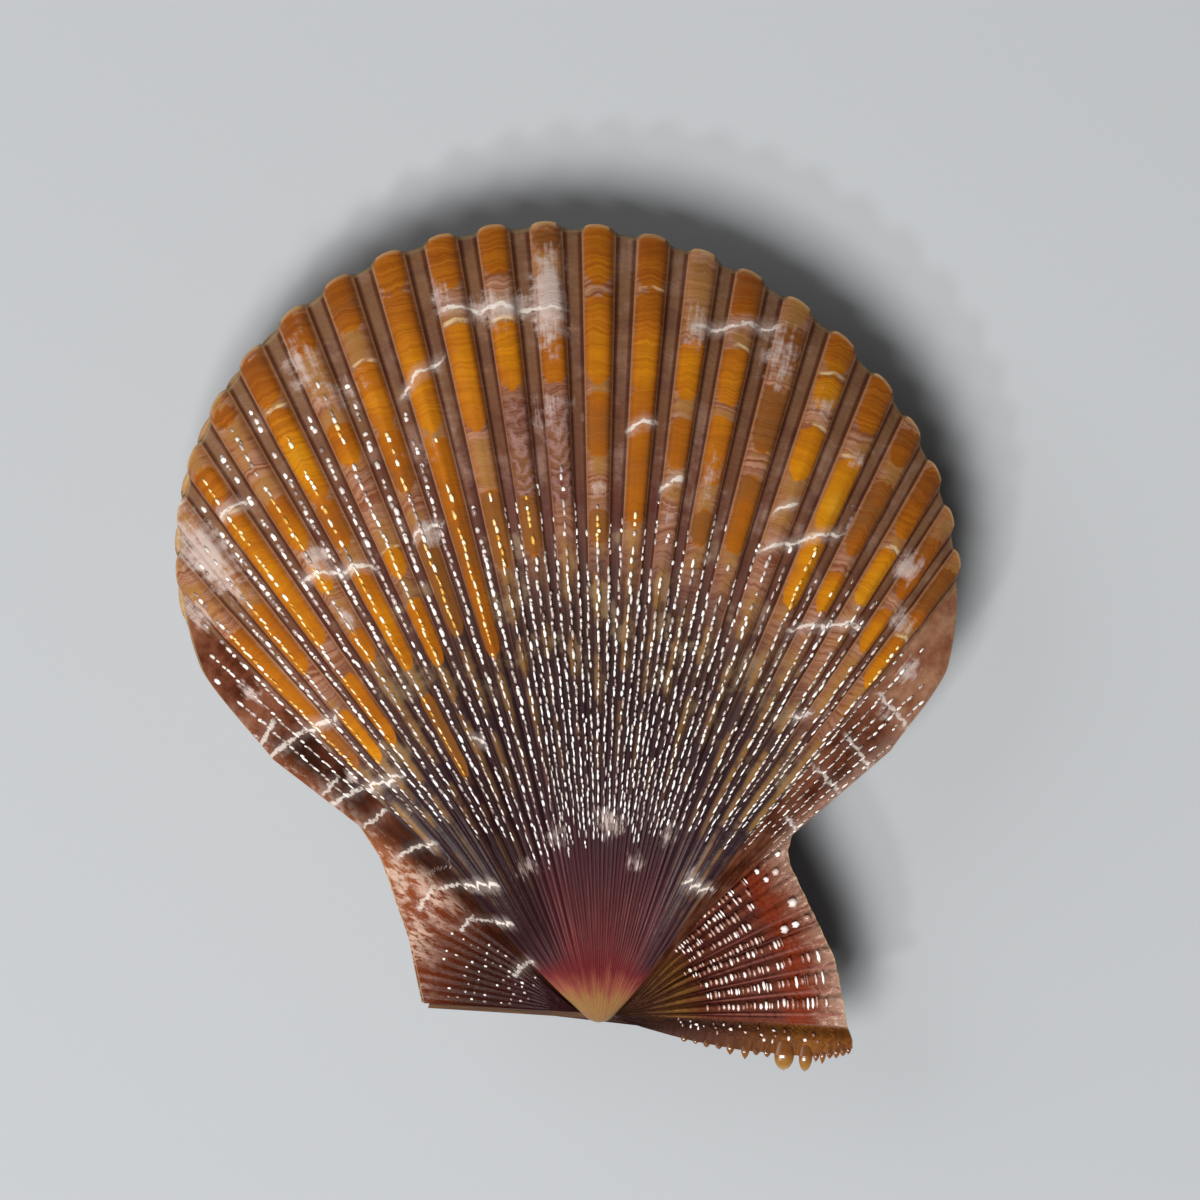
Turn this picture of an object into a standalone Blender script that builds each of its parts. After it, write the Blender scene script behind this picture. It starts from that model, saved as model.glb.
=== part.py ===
"""A closed pair of small scallop valves, about 16 mm from beak to ventral margin.

Three pieces: the left valve on top, the right valve below, and the thin ligament between their
hinge edges. +X runs along the hinge line towards the front (anterior) ear, +Y from the hinge to
the ventral margin, +Z out of the left valve. The pair lies on worn rib crests of the right valve.

Both valves are grown the way a scallop grows. A flat margin, given by its reach from the beak at
every bearing, is scaled down towards the beak and turned upwards as it shrinks, so that the ribs
run straight from the beak when seen from above. They stand out along the normal of that dome.
Bearings are in degrees from +Y, positive to +X.
"""

import math

import bmesh
import bpy
from mathutils import Matrix, Vector

MM = 0.001

# Margin of both valves, seen from above with the beak at the origin of the construction.
DISC_CENTRE = Vector((-1.07, 8.77)) * MM
DISC_LONG, DISC_SHORT = 7.83 * MM, 6.86 * MM
DISC_LEAN = math.radians(9.7)  # the long axis falls this far towards the front
BACK_FLANK, FRONT_FLANK = -55.4, 45.5  # where the disc meets the ears
SHOULDER_DROP = 0.11  # how much the margin draws in where it turns down to a flank
SHOULDER_WIDTH = 3.2
BACK_SPREAD, FRONT_SPREAD = 1.0, 2.4  # how far the flanks swing outwards as they grow
SPREAD_REACH = 9.0 * MM
BACK_EAR = ((-5.10, 3.60), (-4.50, 2.80), (-3.83, 1.24), (-3.56, 0.25), (-3.49, 0.0))
FRONT_EAR = ((3.77, 3.76), (3.68, 3.40), (3.72, 3.12), (4.08, 2.42), (4.68, 1.29), (5.00, 0.0))

# The right valve: its margin is a little wider than the left one's at the back and narrower in
# front. Its front ear has a byssal notch, and a spiny flange that passes the hinge line.
RIGHT_WIDER, RIGHT_NARROWER = 0.05 * MM, 0.12 * MM
BYSSAL_BEARING = 48.5
BYSSAL_HALF_WIDTH = 3.2
BYSSAL_WALL = 1.6  # the notch's wall is this far inside its half-width
BYSSAL_REACH = 2.9 * MM
FLANGE = ((5.00, 0.0), (5.12, -0.28), (5.13, -0.46), (4.30, -0.66), (2.90, -0.60), (1.85, -0.46), (0.90, -0.25))
FLANGE_RISE = 0.20 * MM
FLANGE_THICKNESS = 0.22 * MM

# Dome: the upward turn is STEEP * (1 - f) + CURL * ln(f)^2 at a share f of the reach.
LEFT_STEEP, LEFT_CURL = 0.66, 0.10
RIGHT_STEEP, RIGHT_CURL = 0.58, 0.06
FLANK_POWER = 7.0  # how late, towards the ears, the dome falls to its flank
BEAK_HALF_WIDTH = 0.36 * MM
BEAK_SHARE = 0.03  # the share of the reach where the beak's cap begins

# Walls.
GAP = 0.06 * MM  # between the two valves, all round
HINGE_GAP = 0.16 * MM  # between the two hinge edges, which the ligament fills
HINGE_DEPTH = 0.45 * MM
EDGE_THICKNESS = 0.12 * MM
EAR_THICKNESS = 0.34 * MM
WALL = 0.30 * MM

# Main ribs, each by its bearing. The right valve's ribs lie between them.
RIB_BEARINGS = (
    -46.6, -42.9, -39.3, -35.0, -31.1, -26.8, -22.8, -18.7, -14.6, -10.8, -6.9,
    -3.1, 1.1, 4.9, 8.6, 12.8, 17.0, 21.4, 25.2, 28.9, 32.3, 35.4,
)
RIB_HEIGHT = 0.26 * MM
CREST_HALF_WIDTH = 0.20  # of the way to the next rib
FLOOR_BEGINS = 0.33
MARGIN_WAVE = 0.16 * MM  # how far the two margins interlock
RIB_REACH = 0.005  # ribs pass the floors between them at the margin, as a share of the reach

# Ribs of the front ear, evenly spaced.
EAR_RIBS = 9
EAR_RIB_START, EAR_RIB_END = 46.0, 88.5
EAR_RIB_HEIGHT = 0.11 * MM

# The worn crests that the pair rests on.
WEAR_DEPTH = 0.15 * MM

# Spines on the flange: place along the hinge, length past the edge, and half-width, in mm.
SPINES = (
    (1.75, 0.06, 0.05), (2.20, 0.08, 0.06), (2.68, 0.12, 0.07), (2.98, 0.15, 0.08), (3.35, 0.12, 0.07),
    (3.76, 0.34, 0.16), (4.19, 0.32, 0.13), (4.49, 0.16, 0.07), (4.69, 0.14, 0.06), (4.87, 0.13, 0.06),
    (5.04, 0.10, 0.05),
)

SPINE_ROOT = 0.16 * MM  # how far each one starts inside the flange
SPINE_TAPER, SPINE_FLATNESS, SPINE_DROOP = 0.3, 0.45, 0.3

# The ligament seen from above, in mm.
LIGAMENT_PLAN = ((-3.40, -0.10), (-0.10, -0.13), (0.25, 0.03), (4.80, 0.03), (4.70, 0.30), (-3.30, 0.30))
LIGAMENT_THICKNESS = 0.09 * MM

# Rows from the beak outwards, then back along the inside, as shares of the reach.
OUTER_ROWS = (0.0, 0.03, 0.06, 0.10, 0.16, 0.24, 0.34, 0.46, 0.58, 0.70, 0.80, 0.89, 0.955, 1.0)
INNER_ROWS = (1.0, 0.94, 0.80, 0.60, 0.40, 0.22, 0.0)
BEAK_TIP = Vector((0.0, -0.02, 0.23)) * MM
INNER_POLE = Vector((0.0, 0.50, 0.14)) * MM

# Bearings of the columns that are not on a rib: the ears, the notches and the shoulders.
BACK_COLUMNS = (-90.0, -86.0, -79.0, -71.6, -64.0, -58.1, BACK_FLANK, -55.1, -54.0, -52.6, -50.8)
FRONT_FLANK_COLUMNS = (38.0, 40.2, 42.4, 44.1, 45.2, FRONT_FLANK, 90.0)
CLOSEST_COLUMNS = 0.25


def smooth(low, high, value):
    """0 below low, 1 above high, and an even S between them."""
    share = min(1.0, max(0.0, (value - low) / (high - low)))
    return share * share * (3.0 - 2.0 * share)


def bearing_of(point):
    return math.degrees(math.atan2(point.x, point.y))


def along_line(bearing, start, end):
    """Distance from the beak, along a bearing, to the straight line through two points."""
    ray = Vector((math.sin(math.radians(bearing)), math.cos(math.radians(bearing))))
    side = end - start
    return (start.x * side.y - start.y * side.x) / (ray.x * side.y - ray.y * side.x)


def along_ellipse(bearing):
    """Distance from the beak, along a bearing, to the far side of the disc's ellipse."""
    turn = Matrix.Rotation(DISC_LEAN, 2)
    ray = turn @ Vector((math.sin(math.radians(bearing)), math.cos(math.radians(bearing))))
    start = turn @ -DISC_CENTRE
    ray = Vector((ray.x / DISC_LONG, ray.y / DISC_SHORT))
    start = Vector((start.x / DISC_LONG, start.y / DISC_SHORT))
    half_way = -ray.dot(start) / ray.length_squared
    return half_way + math.sqrt(half_way**2 - (start.length_squared - 1.0) / ray.length_squared)


def along_outline(bearing, points):
    """Distance from the beak, along a bearing, to a line of points in mm."""
    for start, end in zip(points, points[1:]):
        start, end = Vector(start) * MM, Vector(end) * MM
        low, high = sorted((bearing_of(start), bearing_of(end)))
        if low - 0.001 <= bearing <= high + 0.001:
            return along_line(bearing, start, end)
    return (Vector(points[0]) * MM).length


DISC_BEARING = (BACK_FLANK + FRONT_FLANK) / 2
DISC_HALF_ANGLE = (FRONT_FLANK - BACK_FLANK) / 2


def disc_edge(bearing):
    """Reach of the disc: its ellipse, drawn in at the shoulders over the ears."""
    from_flank = min(bearing - BACK_FLANK, FRONT_FLANK - bearing)
    return along_ellipse(bearing) * (1.0 - SHOULDER_DROP * (1.0 - smooth(0.0, SHOULDER_WIDTH, from_flank)))


def rib_number(bearing):
    """Which rib a bearing is on: 0 on the first, 0.5 midway to the second, and so on."""
    last = len(RIB_BEARINGS) - 1
    low = 0
    while low < last - 1 and bearing > RIB_BEARINGS[low + 1]:
        low += 1
    start, end = RIB_BEARINGS[low], RIB_BEARINGS[low + 1]
    return low + (bearing - start) / (end - start)


def bearing_at(number):
    """The bearing of a rib number, which need not be whole."""
    low = min(max(math.floor(number), 0), len(RIB_BEARINGS) - 2)
    start, end = RIB_BEARINGS[low], RIB_BEARINGS[low + 1]
    return start + (end - start) * (number - low)


def rib_wave(number):
    """1 on a crest and 0 on the floor between two ribs."""
    last = len(RIB_BEARINGS) - 1
    if number < -0.5 or number > last + 0.5:
        return 0.0
    return 1.0 - smooth(CREST_HALF_WIDTH, FLOOR_BEGINS, abs(number - round(number)))


def ear_rib_wave(bearing):
    share = (bearing - EAR_RIB_START) / (EAR_RIB_END - EAR_RIB_START)
    if share < 0.0 or share > 1.0:
        return 0.0
    return 0.5 - 0.5 * math.cos(2.0 * math.pi * EAR_RIBS * share)


class Valve:
    """One valve, built facing up. The right one is then turned over about the margin's plane."""

    def __init__(self, side, steep, curl, rib_offset):
        self.side = side
        self.steep = steep
        self.curl = curl
        self.rib_offset = rib_offset

    def is_right(self):
        return self.side < 0

    def reach(self, bearing):
        if bearing <= BACK_FLANK:
            reach = along_outline(bearing, BACK_EAR)
        elif bearing < FRONT_FLANK:
            reach = disc_edge(bearing)
        elif bearing <= 90.0:
            reach = along_outline(bearing, FRONT_EAR)
        else:
            reach = along_outline(bearing, FLANGE)
        reach *= 1.0 + RIB_REACH * (rib_wave(rib_number(bearing) + self.rib_offset) - 0.5)
        if self.is_right():
            if bearing < FRONT_FLANK:
                reach += RIGHT_WIDER - (RIGHT_WIDER + RIGHT_NARROWER) * smooth(-45.0, -20.0, bearing)
            slot = abs(bearing - BYSSAL_BEARING) / BYSSAL_HALF_WIDTH
            reach += (BYSSAL_REACH - reach) * (1.0 - smooth(0.45, 1.0, slot))
        return reach

    def spread(self, reach, bearing):
        """The flanks start closer together at the beak and swing apart as the shell grows."""
        swing = FRONT_SPREAD if bearing > DISC_BEARING else -BACK_SPREAD
        near = min(1.0, self.flank(bearing)) ** 5 * (1.0 - smooth(50.0, 90.0, abs(bearing)))
        return bearing - swing * near * max(0.0, 1.0 - reach / SPREAD_REACH)

    def flank(self, bearing):
        """Place across the disc: 0 on its middle bearing, 1 or more on the ears."""
        return abs(bearing - DISC_BEARING) / DISC_HALF_ANGLE

    def ear_share(self, bearing):
        return smooth(0.93, 1.05, self.flank(bearing))

    def turn(self, share, bearing):
        """How far the shell is turned up out of the margin's plane, in radians."""
        height = max(0.0, 1.0 - self.flank(bearing) ** FLANK_POWER)
        return (self.steep * (1.0 - share) + self.curl * math.log(share) ** 2) * height

    def lift(self, share, bearing):
        """Height of the outside above the margin's plane, before the dome and the ribs."""
        ear = self.ear_share(bearing)
        thin = 1.0 - 0.5 * smooth(0.955, 1.0, share)
        disc_lift = EDGE_THICKNESS * thin
        ear_lift = EDGE_THICKNESS + (EAR_THICKNESS - EDGE_THICKNESS) * (1.0 - share**2)
        return GAP / 2 + disc_lift * (1.0 - ear) + ear_lift * ear

    def dome(self, share, bearing):
        """A point of the plain dome, with no ribs."""
        across = (bearing - DISC_BEARING) / DISC_HALF_ANGLE
        widening = smooth(0.0, BEAK_SHARE, share) * (1.0 - smooth(0.05, 0.45, share))
        reach = share * self.reach(bearing)
        radians = math.radians(self.spread(reach, bearing))
        turn = self.turn(share, bearing)
        x = reach * math.sin(radians) * math.cos(turn)
        x += BEAK_HALF_WIDTH * widening * math.sin(math.pi / 2 * min(1.0, max(-1.0, across)))
        y = reach * math.cos(radians) * math.cos(turn)
        z = reach * max(0.0, math.cos(radians)) * math.sin(turn)
        return Vector((x, y, z + self.lift(share, bearing)))

    def normal(self, share, bearing):
        step_out, step_round = 0.004, 0.15
        high = min(1.0, share + step_out)
        low = max(BEAK_SHARE * 0.5, high - 2 * step_out)
        out = self.dome(high, bearing) - self.dome(low, bearing)
        round_ = self.dome(share, bearing + step_round) - self.dome(share, bearing - step_round)
        return round_.cross(out).normalized()

    def rib_height(self, share, bearing):
        blunt = 1.0 - 0.3 * smooth(0.955, 1.0, share)
        disc_rib = RIB_HEIGHT * share * blunt * rib_wave(rib_number(bearing) + self.rib_offset)
        ear_rib = EAR_RIB_HEIGHT * smooth(0.1, 0.4, share) * ear_rib_wave(bearing)
        return disc_rib + ear_rib

    def outer(self, share, bearing):
        point = self.dome(share, bearing)
        if bearing > 90.0:
            return Vector((point.x, point.y, FLANGE_THICKNESS - self.flange_top(point.y)))
        return point + self.normal(share, bearing) * self.rib_height(share, bearing)

    def flange_top(self, y):
        """Height of the flange's upper side, which curls up behind the left valve's hinge edge."""
        return -HINGE_GAP / 2 + FLANGE_RISE * smooth(0.03 * MM, 0.30 * MM, -y)

    def rim(self, share, bearing, y):
        """Height of the side that faces the other valve."""
        wave = MARGIN_WAVE * (rib_wave(rib_number(bearing)) - 0.5) * smooth(0.72, 1.0, share)
        hinge = (HINGE_GAP - GAP) / 2 * (1.0 - smooth(0.0, HINGE_DEPTH, y))
        return GAP / 2 + self.side * wave * (1.0 - self.ear_share(bearing)) + hinge

    def inner(self, share, bearing):
        point = self.dome(share, bearing)
        if bearing > 90.0:
            return Vector((point.x, point.y, -self.flange_top(point.y)))
        if share < 1.0:
            point = point - self.normal(share, bearing) * WALL
            if self.ear_share(bearing) > 0.5:
                flat = self.dome(share, bearing)
                point = Vector((flat.x, flat.y, 0.0))
            point.z = max(point.z, self.rim(share, bearing, point.y))
            return point
        return Vector((point.x, point.y, self.rim(share, bearing, point.y)))

    def bearings(self):
        """Bearings of the columns: four to a rib, then the shoulders, notches and ears."""
        columns = []
        for rib in range(-1, len(RIB_BEARINGS) + 1):
            for step in (-FLOOR_BEGINS, -CREST_HALF_WIDTH, CREST_HALF_WIDTH, FLOOR_BEGINS):
                number = rib + step - self.rib_offset
                if -0.55 < number < len(RIB_BEARINGS) - 0.45:
                    columns.append(bearing_at(number))
        front = list(FRONT_FLANK_COLUMNS)
        half_ribs = 2 * EAR_RIBS
        for step in range(half_ribs + 1):
            front.append(EAR_RIB_START + (EAR_RIB_END - EAR_RIB_START) * step / half_ribs)
        if self.is_right():
            front += [BYSSAL_BEARING - BYSSAL_HALF_WIDTH + BYSSAL_WALL, BYSSAL_BEARING]
            front += [bearing_of(Vector(point)) for point in FLANGE[1:]]
        columns += list(BACK_COLUMNS) + front
        columns.sort()
        kept = [columns[0]]
        for bearing in columns[1:]:
            if bearing - kept[-1] > CLOSEST_COLUMNS:
                kept.append(bearing)
        return kept

    def mesh(self):
        """A closed shell: one grid runs from the beak out over the ribs and back along the inside."""
        columns = self.bearings()
        rows = [(self.outer, share) for share in OUTER_ROWS] + [(self.inner, share) for share in INNER_ROWS]
        shell = bmesh.new()
        bmesh.ops.create_grid(shell, x_segments=len(columns) - 1, y_segments=len(rows) - 1, size=1.0)
        beak, pole = [], []
        for vertex in shell.verts:
            column = columns[round((vertex.co.x + 1.0) / 2.0 * (len(columns) - 1))]
            row = round((vertex.co.y + 1.0) / 2.0 * (len(rows) - 1))
            surface, share = rows[row]
            if share > 0.0:
                vertex.co = surface(share, column)
            elif row == 0:
                beak.append(vertex)
            else:
                pole.append(vertex)
        bmesh.ops.pointmerge(shell, verts=beak, merge_co=BEAK_TIP)
        bmesh.ops.pointmerge(shell, verts=pole, merge_co=INNER_POLE)
        open_edges = [edge for edge in shell.edges if edge.is_boundary]
        bmesh.ops.contextual_create(shell, geom=open_edges)
        bmesh.ops.triangulate(shell, faces=shell.faces[:])
        if self.is_right():
            bmesh.ops.scale(shell, vec=(1.0, 1.0, -1.0), verts=shell.verts[:])
        bmesh.ops.recalc_face_normals(shell, faces=shell.faces[:])
        return shell


LEFT = Valve(1.0, LEFT_STEEP, LEFT_CURL, 0.0)
RIGHT = Valve(-1.0, RIGHT_STEEP, RIGHT_CURL, 0.5)


def material(name, colour, roughness):
    made = bpy.data.materials.new(name)
    made.use_nodes = True
    shader = made.node_tree.nodes["Principled BSDF"]
    shader.inputs["Base Color"].default_value = (*colour, 1.0)
    shader.inputs["Roughness"].default_value = roughness
    shader.inputs["Metallic"].default_value = 0.0
    return made


def add_object(name, shape, finish):
    mesh = bpy.data.meshes.new(name)
    shape.to_mesh(mesh)
    shape.free()
    mesh.materials.append(finish)
    mesh.shade_smooth()
    mesh.set_sharp_from_angle(angle=math.radians(35.0))
    made = bpy.data.objects.new(name, mesh)
    bpy.context.scene.collection.objects.link(made)
    return made


def wear_flat(shell):
    """Cuts the lowest rib crests level, where the pair rests."""
    level = min(vertex.co.z for vertex in shell.verts) + WEAR_DEPTH
    everything = shell.verts[:] + shell.edges[:] + shell.faces[:]
    bmesh.ops.bisect_plane(
        shell, geom=everything, plane_co=(0.0, 0.0, level), plane_no=(0.0, 0.0, -1.0), clear_outer=True
    )
    open_edges = [edge for edge in shell.edges if edge.is_boundary]
    bmesh.ops.holes_fill(shell, edges=open_edges)
    bmesh.ops.triangulate(shell, faces=shell.faces[:])
    bmesh.ops.recalc_face_normals(shell, faces=shell.faces[:])


def flange_edge(x):
    """The y of the flange's free edge at a place along the hinge, all in mm."""
    for (right, low), (left, high) in zip(FLANGE[2:], FLANGE[3:]):
        if x >= left:
            return low + (high - low) * (x - right) / (left - right)
    return FLANGE[-1][1]


def spine(x, length, half_width):
    """A short curved scale, made as a cone squeezed flat and rooted inside the flange."""
    shape = bmesh.new()
    whole = length * MM + SPINE_ROOT
    bmesh.ops.create_cone(
        shape, cap_ends=True, segments=6, radius1=half_width * MM,
        radius2=half_width * SPINE_TAPER * MM, depth=whole,
    )
    bmesh.ops.scale(shape, vec=(1.0, SPINE_FLATNESS, 1.0), verts=shape.verts[:])
    edge = flange_edge(x) * MM
    middle = RIGHT.flange_top(edge) - FLANGE_THICKNESS / 2
    for vertex in shape.verts:
        out = vertex.co.z + whole / 2 - SPINE_ROOT
        droop = SPINE_DROOP * max(0.0, out) ** 2 / (length * MM)
        vertex.co = Vector((x * MM + vertex.co.x, edge - out, middle + vertex.co.y - droop))
    bmesh.ops.recalc_face_normals(shape, faces=shape.faces[:])
    return shape


def ligament():
    """The dry ligament: a thin strip along the hinge that shows a little behind the back ear."""
    shape = bmesh.new()
    plan = [shape.verts.new((x * MM, y * MM, -LIGAMENT_THICKNESS / 2)) for x, y in LIGAMENT_PLAN]
    made = bmesh.ops.extrude_face_region(shape, geom=[shape.faces.new(plan)])
    top = [item for item in made["geom"] if isinstance(item, bmesh.types.BMVert)]
    bmesh.ops.translate(shape, vec=(0.0, 0.0, LIGAMENT_THICKNESS), verts=top)
    bmesh.ops.triangulate(shape, faces=shape.faces[:])
    bmesh.ops.recalc_face_normals(shape, faces=shape.faces[:])
    return shape


def build():
    for old in list(bpy.data.objects):
        bpy.data.objects.remove(old)
    top = material("mottled_shell", (0.32, 0.13, 0.10), 0.30)
    under = material("pale_mottled_shell", (0.42, 0.20, 0.16), 0.32)
    horn = material("dried_ligament", (0.06, 0.03, 0.02), 0.55)

    right_shell = RIGHT.mesh()
    wear_flat(right_shell)
    pieces = [
        add_object("left_valve", LEFT.mesh(), top),
        add_object("right_valve", right_shell, under),
        add_object("ligament", ligament(), horn),
    ]
    right = pieces[1]
    for number, (x, length, half_width) in enumerate(SPINES):
        cutter = add_object(f"spine_{number}", spine(x, length, half_width), under)
        cutter.hide_render = True
        cutter.display_type = "WIRE"
        union = right.modifiers.new(f"spine_{number}", "BOOLEAN")
        union.operation = "UNION"
        union.object = cutter
        pieces.append(cutter)

    graph = bpy.context.evaluated_depsgraph_get()
    corners = []
    for piece in pieces[:3]:
        shown = piece.evaluated_get(graph).to_mesh()
        corners += [vertex.co.copy() for vertex in shown.vertices]
    low = Vector([min(corner[axis] for corner in corners) for axis in range(3)])
    high = Vector([max(corner[axis] for corner in corners) for axis in range(3)])
    shift = -Vector(((low.x + high.x) / 2, (low.y + high.y) / 2, low.z))
    for piece in pieces:
        piece.location = shift
    print("beak at", [round(value / MM, 4) for value in shift], "mm")
    print("size", [round(value / MM, 3) for value in high - low], "mm")


build()
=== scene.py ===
# %% [markdown]
# # A closed pair of small scallop valves
# The object is one dry scallop, about 16 mm tall, lying on its right valve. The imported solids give
# its size and place. This script grows a fine mesh for each valve on the same outline, with the
# ribs, riblets, ears and spines of the real shell, and paints it with nodes that follow the growth.

import math

import bmesh
import bpy
import numpy as np
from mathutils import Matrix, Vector


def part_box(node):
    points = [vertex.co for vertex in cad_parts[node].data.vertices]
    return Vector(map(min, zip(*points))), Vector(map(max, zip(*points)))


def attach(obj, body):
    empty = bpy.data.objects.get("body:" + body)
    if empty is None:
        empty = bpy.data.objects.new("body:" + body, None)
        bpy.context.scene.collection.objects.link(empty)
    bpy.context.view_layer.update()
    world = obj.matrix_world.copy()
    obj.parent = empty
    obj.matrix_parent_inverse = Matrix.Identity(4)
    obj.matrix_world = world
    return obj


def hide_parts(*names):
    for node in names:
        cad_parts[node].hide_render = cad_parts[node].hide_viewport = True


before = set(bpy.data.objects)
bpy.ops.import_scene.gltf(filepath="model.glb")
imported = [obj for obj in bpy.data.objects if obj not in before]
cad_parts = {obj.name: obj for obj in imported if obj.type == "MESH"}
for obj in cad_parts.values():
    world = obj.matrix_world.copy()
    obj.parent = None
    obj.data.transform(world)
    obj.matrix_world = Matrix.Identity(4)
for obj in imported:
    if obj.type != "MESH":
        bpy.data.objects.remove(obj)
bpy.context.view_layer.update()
MM = 0.001
print("nodes:", sorted(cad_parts))

# %% [markdown]
# ## Where the beak is
# A scallop grows outwards from its beak, so every size below is measured from that point. The
# ligament lies along the hinge, a known way behind and beside the beak, so its box gives the place.

# %% Find the beak
LIGAMENT_BACK, LIGAMENT_BEHIND = 3.40 * MM, 0.13 * MM
strip_low, strip_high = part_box("ligament")
BEAK = Vector((strip_low.x + LIGAMENT_BACK, strip_low.y + LIGAMENT_BEHIND, (strip_low.z + strip_high.z) / 2))
FLOOR_BELOW_BEAK = -BEAK.z
print("beak at", [round(value / MM, 3) for value in BEAK], "mm")

# %% [markdown]
# ## The outline
# Seen from above, the disc is part of an ellipse, drawn in at two shoulders. The ears are short lines
# of points. A bearing is the angle from +Y, the way the shell grows, and is positive towards the
# front ear. All of these work on whole arrays of bearings at once, which keeps the script quick.

# %% Measures of the outline
DISC_CENTRE = (-1.07 * MM, 8.77 * MM)
DISC_LONG, DISC_SHORT = 7.83 * MM, 6.86 * MM
DISC_LEAN = math.radians(9.7)
BACK_FLANK, FRONT_FLANK = -55.4, 45.5
SHOULDER_DROP, SHOULDER_WIDTH = 0.11, 3.2
BACK_SPREAD, FRONT_SPREAD, SPREAD_REACH = 1.0, 2.4, 9.0 * MM
BACK_EAR = ((-5.10, 3.60), (-4.50, 2.80), (-3.83, 1.24), (-3.56, 0.25), (-3.49, 0.0))
FRONT_EAR = ((3.77, 3.76), (3.68, 3.40), (3.72, 3.12), (4.08, 2.42), (4.68, 1.29), (5.00, 0.0))
FLANGE = (
    (5.00, 0.0), (5.12, -0.28), (5.13, -0.46), (4.30, -0.66), (2.90, -0.60), (1.85, -0.46), (0.90, -0.25),
)
DISC_BEARING = (BACK_FLANK + FRONT_FLANK) / 2
DISC_HALF_ANGLE = (FRONT_FLANK - BACK_FLANK) / 2
INSIDE_THE_SOLID = 0.9985  # the fine mesh stays this share inside the solid's outline


def smooth(low, high, value):
    share = np.clip((value - low) / (high - low), 0.0, 1.0)
    return share * share * (3.0 - 2.0 * share)


def window(low, high, value, soft):
    """1 between low and high, fading to 0 over a soft edge on either side."""
    return smooth(low - soft, low + soft, value) * (1.0 - smooth(high - soft, high + soft, value))


def outline_reach(bearing, points):
    """Distance from the beak to a line of points in mm."""
    x, y = np.array(points).T * MM
    corner_bearings = np.degrees(np.arctan2(x, y))
    order = np.argsort(corner_bearings)
    where = np.clip(np.searchsorted(corner_bearings[order], bearing) - 1, 0, len(points) - 2)
    start, end = order[where], order[where + 1]
    side_x, side_y = x[end] - x[start], y[end] - y[start]
    ray_x, ray_y = np.sin(np.radians(bearing)), np.cos(np.radians(bearing))
    return (x[start] * side_y - y[start] * side_x) / (ray_x * side_y - ray_y * side_x)


def disc_reach(bearing):
    cosine, sine = math.cos(DISC_LEAN), math.sin(DISC_LEAN)
    ray_x, ray_y = np.sin(np.radians(bearing)), np.cos(np.radians(bearing))
    ray = ((ray_x * cosine - ray_y * sine) / DISC_LONG, (ray_x * sine + ray_y * cosine) / DISC_SHORT)
    centre_x, centre_y = DISC_CENTRE
    start = (
        -(centre_x * cosine - centre_y * sine) / DISC_LONG,
        -(centre_x * sine + centre_y * cosine) / DISC_SHORT,
    )
    squared = ray[0] ** 2 + ray[1] ** 2
    half_way = -(ray[0] * start[0] + ray[1] * start[1]) / squared
    far = half_way + np.sqrt(np.maximum(0.0, half_way**2 - (start[0] ** 2 + start[1] ** 2 - 1.0) / squared))
    from_flank = np.minimum(bearing - BACK_FLANK, FRONT_FLANK - bearing)
    return far * (1.0 - SHOULDER_DROP * (1.0 - smooth(0.0, SHOULDER_WIDTH, from_flank)))


straight_ahead = float(disc_reach(np.array([0.0]))[0])
print("disc reaches", round(straight_ahead / MM, 2), "mm straight ahead")

# %% [markdown]
# ## Ribs and riblets
# Each rib is known by its bearing. A rib number counts them, so 3.5 is midway between ribs 3 and 4.
# Between the ribs run finer riblets, two to a rib at the sides and three in the middle. A riblet
# number is whole on each of their crests, on the ears too, so one pattern of scales can follow them.

# %% Number the ribs and riblets
RIB_BEARINGS = (
    -46.6, -42.9, -39.3, -35.0, -31.1, -26.8, -22.8, -18.7, -14.6, -10.8, -6.9,
    -3.1, 1.1, 4.9, 8.6, 12.8, 17.0, 21.4, 25.2, 28.9, 32.3, 35.4,
)
LAST_RIB = len(RIB_BEARINGS) - 1
CENTRE_FIRST_RIB, CENTRE_LAST_RIB = 8, 16
EAR_RIB_BEARINGS = (46.6, 49.6, 53.5, 58.3, 63.6, 66.6, 72.8, 78.3, 84.4)
EAR_BEFORE, EAR_AFTER = 44.0, 90.4  # where a rib more would stand on either side
FIRST_BACK_STRIA, FIRST_EAR_RIBLET = -20.0, 71
BACK_EAR_STRIAE = 11
RIBS_BEYOND = 20  # the numbering goes on over the flanks and ears, so patterns do too
RIGHT_OFFSET = 0.5


def rib_line(beyond):
    """Bearings of the ribs, and where one would stand so many ribs before the first and after the last."""
    first_pitch = RIB_BEARINGS[1] - RIB_BEARINGS[0]
    last_pitch = RIB_BEARINGS[-1] - RIB_BEARINGS[-2]
    return [RIB_BEARINGS[0] - first_pitch * beyond, *RIB_BEARINGS, RIB_BEARINGS[-1] + last_pitch * beyond]


def rib_numbers(bearing):
    numbers = [-RIBS_BEYOND, *range(LAST_RIB + 1), LAST_RIB + RIBS_BEYOND]
    return np.interp(bearing, rib_line(RIBS_BEYOND), numbers)


def valve_ribs(bearing, is_right):
    """A valve's own rib numbers: the right one's ribs lie under the left one's grooves."""
    return rib_numbers(bearing) + (RIGHT_OFFSET if is_right else 0.0)


def on_ribs(number, soft):
    """1 from the first rib to the last, with a soft edge on either side."""
    return window(-0.5, LAST_RIB + 0.5, number, soft)


def bearing_of_rib(number):
    return np.interp(number, np.arange(-1.0, LAST_RIB + 2.0), rib_line(1))


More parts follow.
